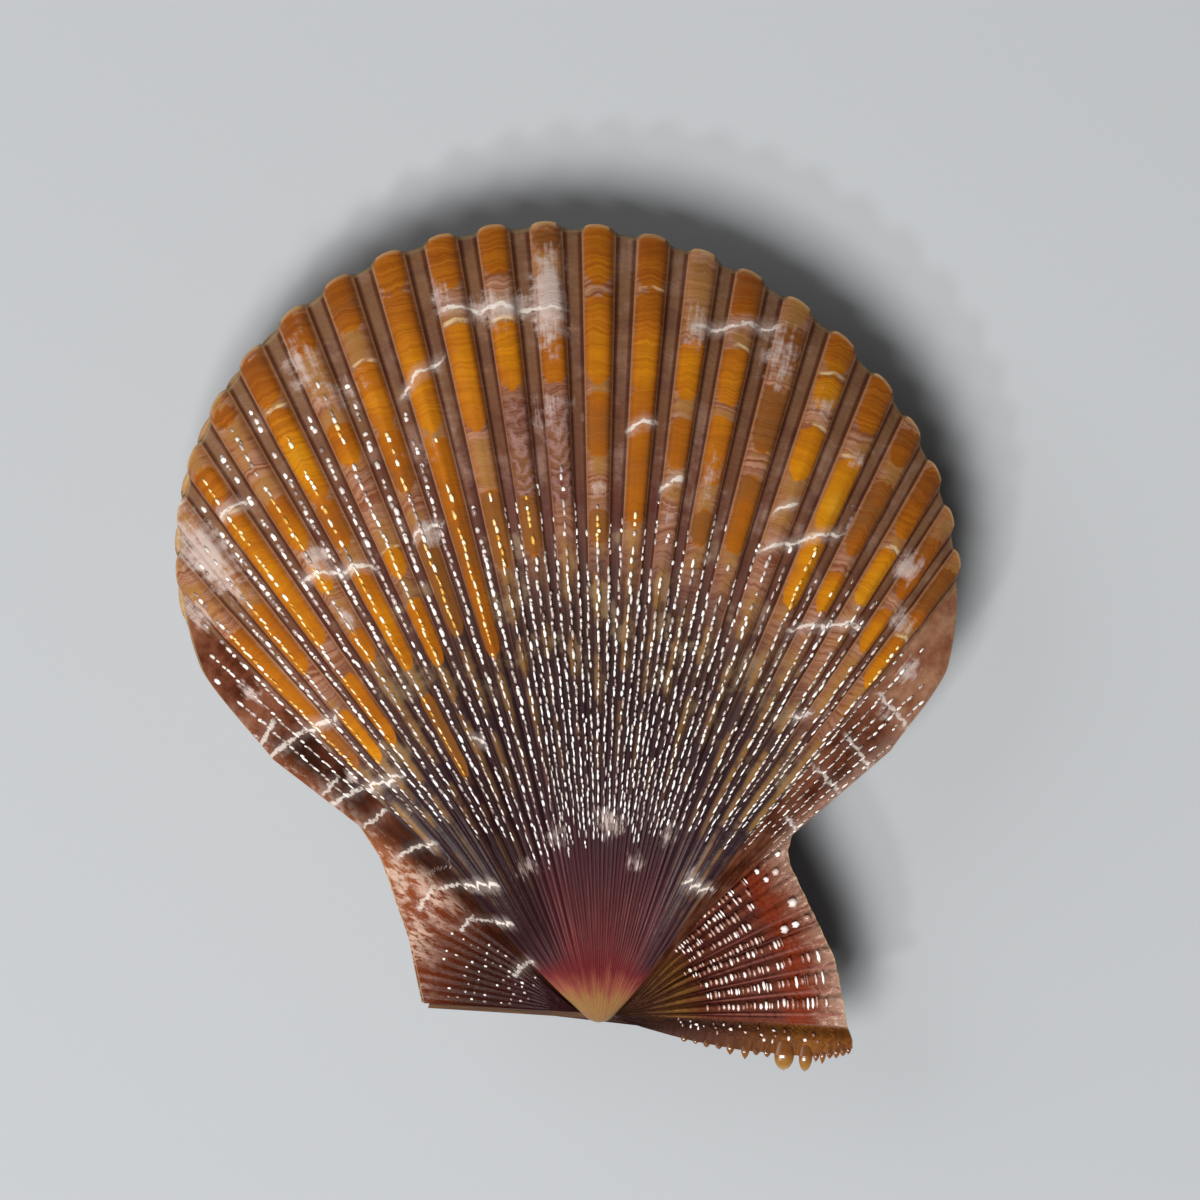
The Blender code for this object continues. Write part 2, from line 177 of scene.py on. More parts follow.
def riblet_numbers(bearing):
    number = rib_numbers(bearing)
    middle = np.clip(number, CENTRE_FIRST_RIB, CENTRE_LAST_RIB) - CENTRE_FIRST_RIB
    on_disc = 2.0 * number + middle
    ear_line = [EAR_BEFORE, *EAR_RIB_BEARINGS, EAR_AFTER]
    on_front_ear = np.interp(bearing, ear_line, np.arange(len(ear_line)) + FIRST_EAR_RIBLET - 1.0)
    on_back_ear = FIRST_BACK_STRIA + BACK_EAR_STRIAE * (bearing - BACK_FLANK) / (90.0 + BACK_FLANK)
    riblet = np.where(bearing > FRONT_FLANK, on_front_ear, on_disc)
    return np.where(bearing < BACK_FLANK, on_back_ear, riblet)


print("riblets on the disc:", round(float(np.ptp(riblet_numbers(np.array([-50.0, 44.0]))))))

# %% [markdown]
# ## Where the mesh has its lines
# One grid makes a valve. Its columns run from the beak out over the outside, round the margin and
# back along the inside. Eighteen columns to a rib are enough to round its riblets, and the smooth
# back ear needs far fewer. The rows are even outside and sparse inside, where nobody looks.

# %% Choose columns and rows
COLUMNS_TO_A_RIB = 18
BACK_EAR_COLUMNS, BACK_FLANK_COLUMNS, FRONT_FLANK_COLUMNS = 42, 26, 44
FRONT_EAR_COLUMNS, FLANGE_COLUMNS = 96, 26
BESIDE_AN_EAR = 0.12  # degrees between an ear's edge and the nearest column of the disc
OUTER_ROWS = 142
RIM_ROWS = (1.0, 0.995)
INNER_ROWS = (0.97, 0.93, 0.86, 0.76, 0.64, 0.50, 0.36, 0.24)


def column_bearings(is_right):
    steps = np.arange(int(-0.5 * COLUMNS_TO_A_RIB), int((LAST_RIB + 0.5) * COLUMNS_TO_A_RIB) + 1)
    ribs = bearing_of_rib(steps / COLUMNS_TO_A_RIB)
    back_ear = np.linspace(-90.0, BACK_FLANK, BACK_EAR_COLUMNS)
    back_flank = np.linspace(BACK_FLANK + BESIDE_AN_EAR, ribs[0], BACK_FLANK_COLUMNS, endpoint=False)
    front_flank = np.linspace(ribs[-1], FRONT_FLANK - BESIDE_AN_EAR, FRONT_FLANK_COLUMNS)[1:]
    front_ear = np.linspace(FRONT_FLANK, 90.0, FRONT_EAR_COLUMNS)
    columns = [back_ear, back_flank, ribs, front_flank, front_ear]
    if is_right:
        last = math.degrees(math.atan2(*FLANGE[-1]))
        columns.append(np.linspace(90.0, last, FLANGE_COLUMNS)[1:])
    return np.concatenate(columns)


def row_shares():
    outer = np.linspace(0.0, 1.0, OUTER_ROWS) ** 1.08
    inner = np.array(RIM_ROWS + INNER_ROWS + (0.0,))
    return np.concatenate([outer, inner])


print("grid:", len(column_bearings(False)), "columns,", len(row_shares()), "rows")

# %% [markdown]
# ## The dome
# A valve is its flat margin, shrunk towards the beak and turned up as it shrinks. Part of the turn
# grows like the logarithm squared, which coils the beak. Towards the ears the turn dies away and leaves
# them flat. The right valve is built the same way and then turned over.

# %% Shape the dome
LEFT_STEEP, LEFT_CURL = 0.66, 0.10
RIGHT_STEEP, RIGHT_CURL = 0.58, 0.06
FLANK_POWER = 7.0
BEAK_HALF_WIDTH, BEAK_SHARE = 0.36 * MM, 0.03
GAP, HINGE_GAP, HINGE_DEPTH = 0.06 * MM, 0.16 * MM, 0.45 * MM
EDGE_THICKNESS, EAR_THICKNESS, WALL = 0.12 * MM, 0.34 * MM, 0.30 * MM
RIGHT_WIDER, RIGHT_NARROWER = 0.05 * MM, 0.12 * MM
BYSSAL_BEARING, BYSSAL_HALF_WIDTH, BYSSAL_REACH = 48.5, 3.2, 2.9 * MM
FLANGE_RISE, FLANGE_THICKNESS = 0.20 * MM, 0.22 * MM
MARGIN_WAVE = 0.16 * MM
RIB_REACH = 0.005  # the ribs make the margin wavy by this share of its reach
RIB_WALL = (0.17, 0.36)  # from its crest to its foot, as shares of the way to the next rib


def from_whole(number):
    """How far a number is from the nearest whole one."""
    return np.abs(number - np.round(number))


def rib_wave(number):
    """1 on a rib's flat crest and 0 on the floor between two."""
    has_ribs = (number > -0.5) & (number < LAST_RIB + 0.5)
    return has_ribs * (1.0 - smooth(*RIB_WALL, from_whole(number)))


def flank_place(bearing):
    """0 on the disc's middle bearing, and 1 or more on the ears."""
    return np.abs(bearing - DISC_BEARING) / DISC_HALF_ANGLE


def ear_share(bearing):
    return smooth(0.93, 1.05, flank_place(bearing))


def valve_reach(bearing, is_right):
    """How far each column reaches from the beak at the margin."""
    reach = np.where(bearing > BACK_FLANK, disc_reach(bearing), outline_reach(bearing, BACK_EAR))
    reach = np.where(bearing >= FRONT_FLANK, outline_reach(bearing, FRONT_EAR), reach)
    reach = np.where(bearing > 90.0, outline_reach(bearing, FLANGE), reach)
    number = valve_ribs(bearing, is_right)
    scallop = 0.5 * np.cos(2.0 * math.pi * number) * on_ribs(number, 0.25)
    reach = reach * (1.0 + RIB_REACH * scallop)
    if is_right:
        change = RIGHT_WIDER - (RIGHT_WIDER + RIGHT_NARROWER) * smooth(-45.0, -20.0, bearing)
        reach = reach + np.where(bearing < FRONT_FLANK, change, 0.0)
        slot = np.abs(bearing - BYSSAL_BEARING) / BYSSAL_HALF_WIDTH
        reach = reach + (BYSSAL_REACH - reach) * (1.0 - smooth(0.45, 1.0, slot))
    return reach * INSIDE_THE_SOLID


def dome(share, bearing, reach, is_right):
    """Places of the plain shell before its ribs, as an array of points."""
    steep, curl = (RIGHT_STEEP, RIGHT_CURL) if is_right else (LEFT_STEEP, LEFT_CURL)
    flank = flank_place(bearing)
    height = np.maximum(0.0, 1.0 - flank**FLANK_POWER)
    turn = (steep * (1.0 - share) + curl * np.log(share) ** 2) * height
    out = share * reach
    swing = np.where(bearing > DISC_BEARING, FRONT_SPREAD, -BACK_SPREAD)
    near = np.minimum(1.0, flank) ** 5 * (1.0 - smooth(50.0, 90.0, np.abs(bearing)))
    radians = np.radians(bearing - swing * near * np.maximum(0.0, 1.0 - out / SPREAD_REACH))
    widening = smooth(0.0, BEAK_SHARE, share) * (1.0 - smooth(0.05, 0.45, share))
    across = np.clip((bearing - DISC_BEARING) / DISC_HALF_ANGLE, -1.0, 1.0)
    x = out * np.sin(radians) * np.cos(turn) + BEAK_HALF_WIDTH * widening * np.sin(math.pi / 2 * across)
    y = out * np.cos(radians) * np.cos(turn)
    z = out * np.maximum(0.0, np.cos(radians)) * np.sin(turn)
    ear = ear_share(bearing)
    disc_lift = EDGE_THICKNESS * (1.0 - 0.5 * smooth(0.955, 1.0, share))
    ear_lift = EDGE_THICKNESS + (EAR_THICKNESS - EDGE_THICKNESS) * (1.0 - share**2)
    z = z + GAP / 2 + disc_lift * (1.0 - ear) + ear_lift * ear
    return np.stack([x, y, z], axis=-1)


def outward(points):
    """Normals of a grid of points, from its neighbours along both ways."""
    along, across = np.gradient(points, axis=0), np.gradient(points, axis=1)
    normals = np.cross(across, along)
    length = np.linalg.norm(normals, axis=-1, keepdims=True)
    return normals / np.maximum(length, 1e-12)


# %% [markdown]
# ## Relief on the outside
# Near the margin the ribs are broad, smooth bars. Further back each one breaks up into narrow
# riblets, and those carry the small scales that glint. Two low steps mark winters when the shell
# stopped growing. The front ear has beaded ribs, and the back ear only fine lines.

# %% Shape the ribs, riblets and ears
RIB_HEIGHT = 0.235 * MM
RIBLET_HEIGHT = 0.066 * MM
EAR_RIB_HEIGHT, EAR_RIDGE_HEIGHT = 0.10 * MM, 0.045 * MM
FIRST_EAR_RIDGE = 57.0  # from this bearing on, a smooth ridge runs between two scaly ribs
STRIA_HEIGHT = 0.020 * MM
RIBLET_WALL, EAR_RIB_WALL, EAR_RIDGE_WALL = (0.03, 0.33), (0.06, 0.36), (0.40, 0.48)
GROWTH_REST_SHARES, GROWTH_REST_WIDTH = (0.885, 0.655), 0.012
GROWTH_REST_HEIGHT = 0.018 * MM


def middle_of_disc(bearing):
    return window(-15.0, 16.5, bearing, 2.0)


def riblet_strength(share, bearing):
    """How much of the surface is riblets and not broad bars."""
    in_middle = 1.0 - smooth(0.56, 0.66, share)
    at_sides = 1.0 - smooth(0.70, 0.97, share)
    middle = middle_of_disc(bearing)
    return in_middle * middle + at_sides * (1.0 - middle)


def relief(share, bearing, is_right):
    number = valve_ribs(bearing, is_right)
    on_disc = on_ribs(number, 0.05)
    strength = riblet_strength(share, bearing)
    blunt = 1.0 - 0.50 * smooth(0.88, 1.0, share)
    crown = 1.0 - 0.10 * np.minimum(1.0, (from_whole(number) / 0.2) ** 2)
    rib = rib_wave(number) * crown * RIB_HEIGHT * share * blunt
    rib = rib * (1.0 - (0.60 * middle_of_disc(bearing) + 0.25) * strength)
    riblet = from_whole(riblet_numbers(bearing))
    ridge = 1.0 - smooth(*RIBLET_WALL, riblet)
    fine = ridge * RIBLET_HEIGHT * np.minimum(1.0, share / 0.5) * strength
    on_flanks = window(BACK_FLANK, FRONT_FLANK, bearing, 0.6) * (1.0 - on_disc)
    beak = smooth(0.02, 0.11, share)
    disc = (on_disc * (rib + fine) + 0.5 * on_flanks * fine) * beak
    rest = sum(np.exp(-(((share - place) / GROWTH_REST_WIDTH) ** 2)) for place in GROWTH_REST_SHARES)
    disc = disc + rest * GROWTH_REST_HEIGHT * window(BACK_FLANK + 4, FRONT_FLANK - 3, bearing, 1.5)
    on_front_ear = (bearing > FRONT_FLANK) & (bearing < 89.0)
    ear_rib = (1.0 - smooth(*EAR_RIB_WALL, riblet)) * EAR_RIB_HEIGHT
    ear_ridge = smooth(*EAR_RIDGE_WALL, riblet) * EAR_RIDGE_HEIGHT * (bearing > FIRST_EAR_RIDGE)
    front_ear = on_front_ear * (ear_rib + ear_ridge) * smooth(0.10, 0.40, share)
    back_ear = (bearing < BACK_FLANK) * ridge * STRIA_HEIGHT * smooth(0.15, 0.5, share)
    return disc + front_ear + back_ear


# %% [markdown]
# ## The inside and the rim
# The two margins lock together like a zip, so the rim goes up under each rib and down between them.
# The inside follows the outside at the thickness of the wall, and the ears are solid plates.

# %% Shape the side that faces the other valve
def rim_height(share, bearing, y, is_right):
    side = -1.0 if is_right else 1.0
    wave = MARGIN_WAVE * (rib_wave(rib_numbers(bearing)) - 0.5) * smooth(0.72, 1.0, share)
    hinge = (HINGE_GAP - GAP) / 2 * (1.0 - smooth(0.0, HINGE_DEPTH, y))
    return GAP / 2 + side * wave * (1.0 - ear_share(bearing)) + hinge


def flange_top(y):
    """The flange's upper side curls up behind the left valve's hinge edge."""
    return -HINGE_GAP / 2 + FLANGE_RISE * smooth(0.03 * MM, 0.30 * MM, -y)


def valve_points(bearings, shares, is_right):
    """Every point of a valve's grid, facing up, measured from the beak."""
    share, bearing = np.meshgrid(np.maximum(shares, 0.004), bearings, indexing="ij")
    reach = valve_reach(bearing, is_right)
    plain = dome(share, bearing, reach, is_right)
    outer, inner = plain[:OUTER_ROWS], plain[OUTER_ROWS:]
    outer_part = (share[:OUTER_ROWS], bearing[:OUTER_ROWS])
    inner_part = (share[OUTER_ROWS:], bearing[OUTER_ROWS:])
    outer = outer + outward(outer) * relief(*outer_part, is_right)[..., None]
    wall = WALL * smooth(1.0, 0.97, inner_part[0])[..., None]
    walled = inner - outward(inner[::-1])[::-1] * wall
    inner = np.where((ear_share(inner_part[1]) > 0.5)[..., None], inner * (1.0, 1.0, 0.0), walled)
    rim = rim_height(inner_part[0], inner_part[1], inner[..., 1], is_right)
    inner[..., 2] = np.where(inner_part[0] >= 0.999, rim, np.maximum(inner[..., 2], rim))
    points = np.concatenate([outer, inner])
    if is_right:
        on_flange = bearing > 90.0
        curl = flange_top(points[..., 1])
        outside = np.arange(len(shares))[:, None] < OUTER_ROWS
        flange_z = np.where(outside, FLANGE_THICKNESS - curl, -curl)
        points[..., 2] = np.where(on_flange, flange_z, points[..., 2])
        points[..., 2] *= -1.0
    return points, share, bearing


trial, _, _ = valve_points(column_bearings(False), row_shares(), False)
print("left valve spans", np.round((trial.max((0, 1)) - trial.min((0, 1))) / MM, 2), "mm")

# %% [markdown]
# ## Markings
# The photo's shell has an orange ray along each rib, broken into bars by paler and darker stops in
# its growth. Each bar is a start and an end, in mm from the beak, and a hue from brown through
# orange to yellow. Where growth paused, thin white lines cross the ribs, and pale clouds lie over them.
# All three lists are short: ragged edges and mottling come from noise later.

# %% List the bars on each rib
BROWN, RUST, AMBER, ORANGE, YELLOW = 0.0, 0.2, 0.4, 0.6, 0.8
RAYS = (
    ((6.8, 7.8, RUST), (7.9, 10.5, AMBER)),
    ((6.6, 7.9, ORANGE), (8.9, 10.6, AMBER)),
    ((6.7, 8.4, AMBER), (9.1, 12.3, ORANGE), (12.6, 13.4, AMBER)),
    ((8.3, 9.0, AMBER), (9.9, 10.6, ORANGE), (10.9, 12.1, AMBER), (13.8, 14.2, RUST)),
    ((5.4, 7.2, BROWN), (7.8, 10.0, ORANGE), (10.5, 11.5, RUST), (11.5, 13.6, YELLOW), (13.7, 14.8, RUST)),
    ((7.6, 9.0, AMBER), (9.5, 10.1, ORANGE), (11.9, 12.8, AMBER), (14.3, 15.2, RUST)),
    ((8.0, 10.0, BROWN), (11.0, 12.3, RUST), (12.3, 13.7, ORANGE), (14.4, 15.7, RUST)),
    ((7.4, 11.9, RUST), (12.0, 14.9, ORANGE), (14.9, 15.9, AMBER)),
    ((9.0, 10.6, BROWN), (11.8, 14.0, ORANGE), (14.7, 16.0, AMBER)),
    ((9.2, 10.4, BROWN), (12.5, 13.9, ORANGE), (14.8, 16.0, AMBER)),
    ((12.5, 13.6, AMBER), (15.2, 15.7, BROWN)),
    ((9.3, 10.0, BROWN), (11.0, 12.3, RUST), (12.5, 14.3, ORANGE), (14.5, 16.0, AMBER)),
    ((9.7, 12.4, RUST), (12.3, 14.4, ORANGE), (14.4, 15.9, RUST)),
    ((10.9, 11.9, RUST), (12.3, 13.5, ORANGE)),
    ((9.5, 10.2, BROWN), (10.7, 12.1, AMBER), (12.3, 13.5, ORANGE), (14.0, 15.4, RUST)),
    ((9.5, 11.1, RUST), (11.6, 13.0, BROWN), (13.4, 14.2, BROWN)),
    ((11.3, 12.4, ORANGE), (12.8, 13.5, YELLOW), (13.6, 14.5, AMBER)),
    ((8.9, 10.4, ORANGE), (10.5, 12.1, YELLOW), (12.7, 13.9, AMBER)),
    ((9.1, 10.0, ORANGE), (10.4, 12.0, BROWN), (12.4, 13.2, RUST)),
    ((9.6, 10.9, YELLOW), (11.2, 12.8, RUST)),
    ((8.9, 9.9, ORANGE), (10.2, 11.6, RUST)),
    ((8.4, 9.6, ORANGE), (9.9, 11.3, BROWN)),
)
BAR_HALF_WIDTH = 0.26  # of the way to the next rib
BAR_ROUND, BAR_BLUNT = 0.32 * MM, 0.09 * MM

# %% List the white lines and the clouds
# Each line: its layer, distance in mm, first and last bearing, and how far it climbs between them.
WHITE_LINES = (
    (0, 8.25, -56.0, -44.0, -0.35), (1, 8.52, -55.0, -51.0, 0.1), (0, 6.70, -56.0, -42.0, -0.55),
    (1, 6.92, -55.0, -51.0, 0.0), (2, 5.88, -55.0, -49.0, -0.1), (0, 5.00, -56.0, -46.0, -0.3),
    (1, 10.45, -37.0, -29.5, -0.5), (2, 10.10, -24.0, -20.5, 0.15), (0, 14.30, -15.5, -6.0, -0.3),
    (1, 13.75, 5.0, 11.5, 0.4), (0, 9.75, 16.0, 23.5, 0.95), (2, 8.55, 23.0, 30.8, 0.8),
    (1, 8.38, 38.0, 45.3, -0.05), (0, 7.35, 38.5, 45.3, -0.15), (2, 6.45, 38.0, 45.3, 0.0),
    (1, 5.33, 41.0, 45.3, 0.0), (2, 3.20, 27.0, 40.0, 0.1), (0, 7.00, 28.8, 31.6, 0.3),
    (2, 12.90, -20.5, -16.5, 0.5), (1, 1.74, -70.0, -46.0, -0.1), (0, 3.10, -63.0, -55.0, 0.0),
    (2, 3.05, -58.0, -42.0, -0.55), (1, 4.05, -64.0, -56.0, 0.0), (0, 3.95, -56.0, -38.0, -0.65),
    (2, 12.40, -40.2, -37.6, 0.0), (1, 12.95, -44.5, -42.0, 0.2), (2, 6.00, -26.6, -24.8, -0.1),
    (1, 10.50, 3.6, 5.8, 0.25), (2, 10.55, 16.0, 18.0, 0.30), (2, 11.60, -0.2, 2.4, 0.20),
)
CAPPED_FROM = ORANGE  # bars of this hue or brighter end in a thin pale cap
# Each cloud: its bearing, distance in mm, half-width in degrees, half-length in mm and strength.
CLOUDS = (
    (-7.0, 14.2, 1.6, 1.1, 1.0), (-11.0, 14.2, 3.5, 0.45, 0.8), (-15.5, 14.6, 1.2, 0.6, 0.6),
    (-27.5, 14.3, 2.2, 1.1, 0.6), (-25.0, 13.3, 2.5, 0.5, 0.6), (-43.5, 12.0, 2.4, 1.2, 1.0),
    (-48.0, 11.3, 1.6, 0.5, 0.8), (-50.5, 9.4, 1.6, 0.35, 0.7), (-34.5, 10.6, 1.6, 0.3, 1.0),
    (-22.0, 10.1, 1.2, 0.35, 0.9), (-35.0, 9.3, 0.9, 0.3, 0.8), (5.0, 13.8, 1.6, 0.6, 0.6),
    (12.3, 13.6, 1.8, 1.0, 0.6), (17.0, 12.9, 1.2, 0.4, 0.7), (21.5, 12.1, 0.8, 0.3, 0.6),
    (31.3, 10.8, 1.3, 0.4, 0.9), (34.0, 9.9, 2.0, 0.3, 0.7), (39.0, 9.2, 1.4, 0.4, 0.8),
    (41.0, 8.3, 2.2, 0.2, 0.6), (-3.0, 10.4, 0.8, 0.2, 0.8), (5.0, 10.0, 0.8, 0.25, 0.7),
    (10.0, 9.3, 0.6, 0.2, 0.6), (-15.0, 3.7, 4.0, 0.35, 0.6), (0.0, 3.9, 5.0, 0.4, 0.8),
    (9.0, 3.2, 4.0, 0.3, 0.6), (-26.0, 3.3, 5.0, 0.3, 0.6), (17.0, 3.9, 3.0, 0.4, 0.6),
    (28.0, 3.4, 4.0, 0.2, 0.5), (-49.0, 6.8, 1.6, 0.2, 0.9), (-7.5, 11.9, 3.5, 0.8, 0.45),
    (8.5, 10.9, 1.6, 0.8, 0.45), (23.5, 11.0, 1.2, 0.5, 0.5), (-20.5, 11.6, 3.0, 0.5, 0.4),
)
print(sum(len(bars) for bars in RAYS), "bars,", len(WHITE_LINES), "lines,", len(CLOUDS), "clouds")


# %% Mark the rays, lines and clouds on the mesh
def ray_marks(number, distance):
    """How deep a point is inside a bar, and its hue, which drifts from one bar to the next."""
    depth = np.zeros_like(distance)
    hue = np.full_like(distance, AMBER)
    for rib, bars in enumerate(RAYS):
        middles = [(start + end) / 2 * MM for start, end, _ in bars]
        drift = np.interp(distance, middles, [tint for _, _, tint in bars])
        for start, end, _ in bars:
            from_start = np.clip((distance - start * MM) / BAR_ROUND, 0.0, 1.0)
            to_end = np.clip((end * MM - distance) / BAR_BLUNT, 0.0, 1.0)
            half_width = BAR_HALF_WIDTH * np.sqrt(from_start * (2.0 - from_start) * to_end * (2.0 - to_end))
            inside = 1.0 - smooth(-0.08, 0.08, np.abs(number - rib) - half_width)
            inside = inside * (half_width > 0.02)
            along = (distance / MM - start) / (end - start)
            hue = np.where(inside > depth, drift + 0.10 * (0.5 - along), hue)
            depth = np.maximum(depth, inside)
    return depth, hue


def nearest_line(bearing, distance, lines):
    """Mm past the nearest of some lines, and whether it is there."""
    past, there = np.full_like(distance, 1.0), np.zeros_like(distance)
    for middle, start, end, climb in lines:
        off = distance / MM - middle - climb * (bearing - start) / (end - start)
        soft = min(0.8, 0.15 * (end - start))
        near = window(start, end, bearing, soft) * (1.0 - smooth(0.30, 0.90, np.abs(off)))
        past = np.where(near > there, off, past)
        there = np.maximum(there, near)
    return past, there


def line_marks(bearing, distance):
    """The nearest line in each of three layers."""
    layers = [[line for layer, *line in WHITE_LINES if layer == wanted] for wanted in range(3)]
    return zip(*[nearest_line(bearing, distance, lines) for lines in layers])


def cap_marks(bearing, distance, is_right):
    """The nearest of the short lines that cap the margin ends of the bright bars."""
    offset = RIGHT_OFFSET if is_right else 0.0
    caps = []
    for rib, bars in enumerate(RAYS):
        start, end = bearing_of_rib(rib - offset - 0.25), bearing_of_rib(rib - offset + 0.25)
        caps += [(out + 0.02, start, end, 0.0) for _, out, tint in bars if tint >= CAPPED_FROM]
    return nearest_line(bearing, distance, caps)


def cloud_marks(bearing, distance):
    cloud = np.zeros_like(distance)
    for middle, out, half_width, half_length, strength in CLOUDS:
        across, along = (bearing - middle) / half_width, (distance / MM - out) / half_length
        cloud = np.maximum(cloud, strength * np.exp(-(across**2) - along**2))
    return cloud


# %% [markdown]
# ## From grid to mesh
# `create_grid` makes the vertices and faces, and the arrays above move every vertex to its place.
# The first and last rows are each drawn together into one point, and the two open ends along the
# hinge are filled, so the valve is one closed skin. Seven vertex attributes carry what the materials
# need: where a point is in the growth, what is marked on it, what form it is part of, which side it is
# on, and how far it lies past the nearest white line of each layer and the nearest cap of a bar.

# %% Two helpers for meshes and objects
def mesh_of(shape, name):
    """Turns a finished bmesh into a new mesh."""
    mesh = bpy.data.meshes.new(name)
    shape.to_mesh(mesh)
    shape.free()
    return mesh


def show(name, data):
    """A new object in the scene with this mesh, lamp or camera."""
    made = bpy.data.objects.new(name, data)
    bpy.context.scene.collection.objects.link(made)
    return made


# %% Grow a valve
def valve_grid(columns, rows):
    """A flat grid with a UV map for baking, wrapped later into the valve."""
    shape = bmesh.new()
    shape.loops.layers.uv.new("OFBake")
    bmesh.ops.create_grid(shape, x_segments=columns - 1, y_segments=rows - 1, size=1.0, calc_uvs=True)
    return mesh_of(shape, "grid")


def store(mesh, name, *parts):
    made = mesh.attributes.new(name, "FLOAT_VECTOR", "POINT")
    made.data.foreach_set("vector", np.stack(parts, axis=-1).astype(np.float32).ravel())


def close_shell(mesh, columns, first_point, last_point):
    """Draws the two pole rows together and fills the open ends along the hinge."""
    shape = bmesh.new()
    shape.from_mesh(mesh)
    shape.verts.ensure_lookup_table()
    first, last = shape.verts[:columns], shape.verts[-columns:]
    bmesh.ops.pointmerge(shape, verts=first, merge_co=first_point)
    bmesh.ops.pointmerge(shape, verts=last, merge_co=last_point)
    open_edges = [edge for edge in shape.edges if edge.is_boundary]
    bmesh.ops.holes_fill(shape, edges=open_edges)
    long_faces = [face for face in shape.faces if len(face.verts) > 4]
    bmesh.ops.triangulate(shape, faces=long_faces)
    bmesh.ops.recalc_face_normals(shape, faces=shape.faces[:])
    shape.to_mesh(mesh)
    shape.free()


BEAK_TIP = Vector((0.0, -0.02, 0.23)) * MM
INNER_POLE = Vector((0.0, 0.50, 0.14)) * MM
SHARP_ANGLE = math.radians(75.0)


def store_marks(mesh, here, bearing, share, distance, is_right):
    """Stores what the materials read at every point."""
    number = valve_ribs(bearing, is_right)
    ray, hue = ray_marks(number, distance)
    past, there = line_marks(bearing, distance)
    cap_past, cap_there = cap_marks(bearing, distance, is_right)
    disc, ear = on_ribs(number, 0.2), ear_share(bearing)
    scaly = np.maximum(riblet_strength(share, bearing), ear)
    shell_rows = OUTER_ROWS + len(RIM_ROWS)
    outside = np.where(bearing > 90.0, 1.0, (np.arange(len(share)) < shell_rows)[:, None])
    store(mesh, "growth", number[here], (distance / MM)[here], riblet_numbers(bearing)[here])
    store(mesh, "marking", (ray * disc)[here], hue[here], cloud_marks(bearing, distance)[here])
    store(mesh, "form", disc[here], (scaly * outside)[here], share[here])
    store(mesh, "side", outside[here], ear[here], (bearing / 90.0)[here])
    store(mesh, "line_past", *[layer[here] for layer in past])
    store(mesh, "line_there", *[layer[here] for layer in there])
    store(mesh, "cap", cap_past[here], cap_there[here], ray[here])


def grow_valve(name, is_right):
    bearings, shares = column_bearings(is_right), row_shares()
    mesh = valve_grid(len(bearings), len(shares))
    flat = np.empty(len(mesh.vertices) * 3)
    mesh.vertices.foreach_get("co", flat)
    flat = flat.reshape(-1, 3)
    column = np.rint((flat[:, 0] + 1.0) / 2.0 * (len(bearings) - 1)).astype(int)
    row = np.rint((flat[:, 1] + 1.0) / 2.0 * (len(shares) - 1)).astype(int)
    points, share, bearing = valve_points(bearings, shares, is_right)
    points[..., 2] = np.maximum(points[..., 2], FLOOR_BELOW_BEAK)
    places = points[row, column] + np.array(BEAK)
    mesh.vertices.foreach_set("co", places.ravel())
    distance = np.linalg.norm(points[..., :2], axis=-1)
    store_marks(mesh, (row, column), bearing, share, distance, is_right)
    flip = Vector((1.0, 1.0, -1.0 if is_right else 1.0))
    close_shell(mesh, len(bearings), BEAK + BEAK_TIP * flip, BEAK + INNER_POLE * flip)
    mesh.shade_smooth()
    mesh.set_sharp_from_angle(angle=SHARP_ANGLE)
    triangles = sum(len(face.vertices) - 2 for face in mesh.polygons)
    print(name, "has", triangles, "triangles")
    return show(name, mesh), points


left_skin, left_points = grow_valve("left_valve_shell", False)
right_skin, right_points = grow_valve("right_valve_shell", True)
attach(left_skin, "root")
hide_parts("left_valve")
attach(right_skin, "root")
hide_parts("right_valve")

# %% [markdown]
# ## Scales on the riblets
# Each riblet carries a row of small overlapping scales, like roof tiles that open towards the
# margin. Their backs face the hinge and glint in the light that comes from there. One scale is a
# rounded bead. Copies of it are laid along every riblet, raised at the end towards the margin. The
# scales reach furthest out on the back half of the disc, and the newest shell in front has none.

# %% Where the scales are
# Each kind of scale, in mm: its step, its width, the width gained for each mm from the beak, its
# length as a share of its step, and its rise.
FLAKE = (0.135, 0.016, 0.0056, 1.28, 0.036)
PLATE = (0.084, 0.020, 0.0520, 0.70, 0.050)
DASH = (0.240, 0.110, 0.0000, 0.30, 0.035)
KNOB = (0.250, 0.185, 0.0000, 0.80, 0.075)
SCALE_TILT = 0.40
# Where the rows begin and end, in mm from the beak, at each of these bearings.
SCALE_BEARINGS = (
    -54.0, -49.0, -45.0, -41.0, -37.0, -31.0, -27.0, -23.0, -19.0,
    -16.0, -3.0, 7.0, 15.0, 19.0, 25.0, 31.0, 35.0, 45.0,
)
SCALES_BEGIN = (7.8, 5.8, 5.4, 5.0, 4.6, 4.1, 3.7, 3.3, 3.3, 3.4, 3.6, 3.8, 3.9, 4.0, 4.2, 4.4, 4.6, 4.8)
SCALES_END = (
    10.2, 11.6, 12.6, 13.4, 14.0, 14.0, 13.6, 12.8, 12.0, 10.5, 10.1, 9.8, 9.8, 10.2, 10.0, 9.7, 9.6, 9.6,
)
EAR_PLATES_BEGIN, EAR_SMOOTH_FROM, EAR_SMOOTH_TO, EAR_KNOBS_TO, EAR_PLATES_END = 2.0, 3.90, 4.15, 4.75, 5.1
BACK_EAR_DASHES, FLANGE_DASHES = (1.3, 3.3), (1.5, 4.9)
GROOVE_BOLD = 1.3  # at the sides the scales in the grooves are this much wider
SMOOTH_ARC_ENDS = 69.0  # the smooth arc across the front ear reaches to this bearing
FLANGE_SCALES = (93.0, 94.6, 96.4)
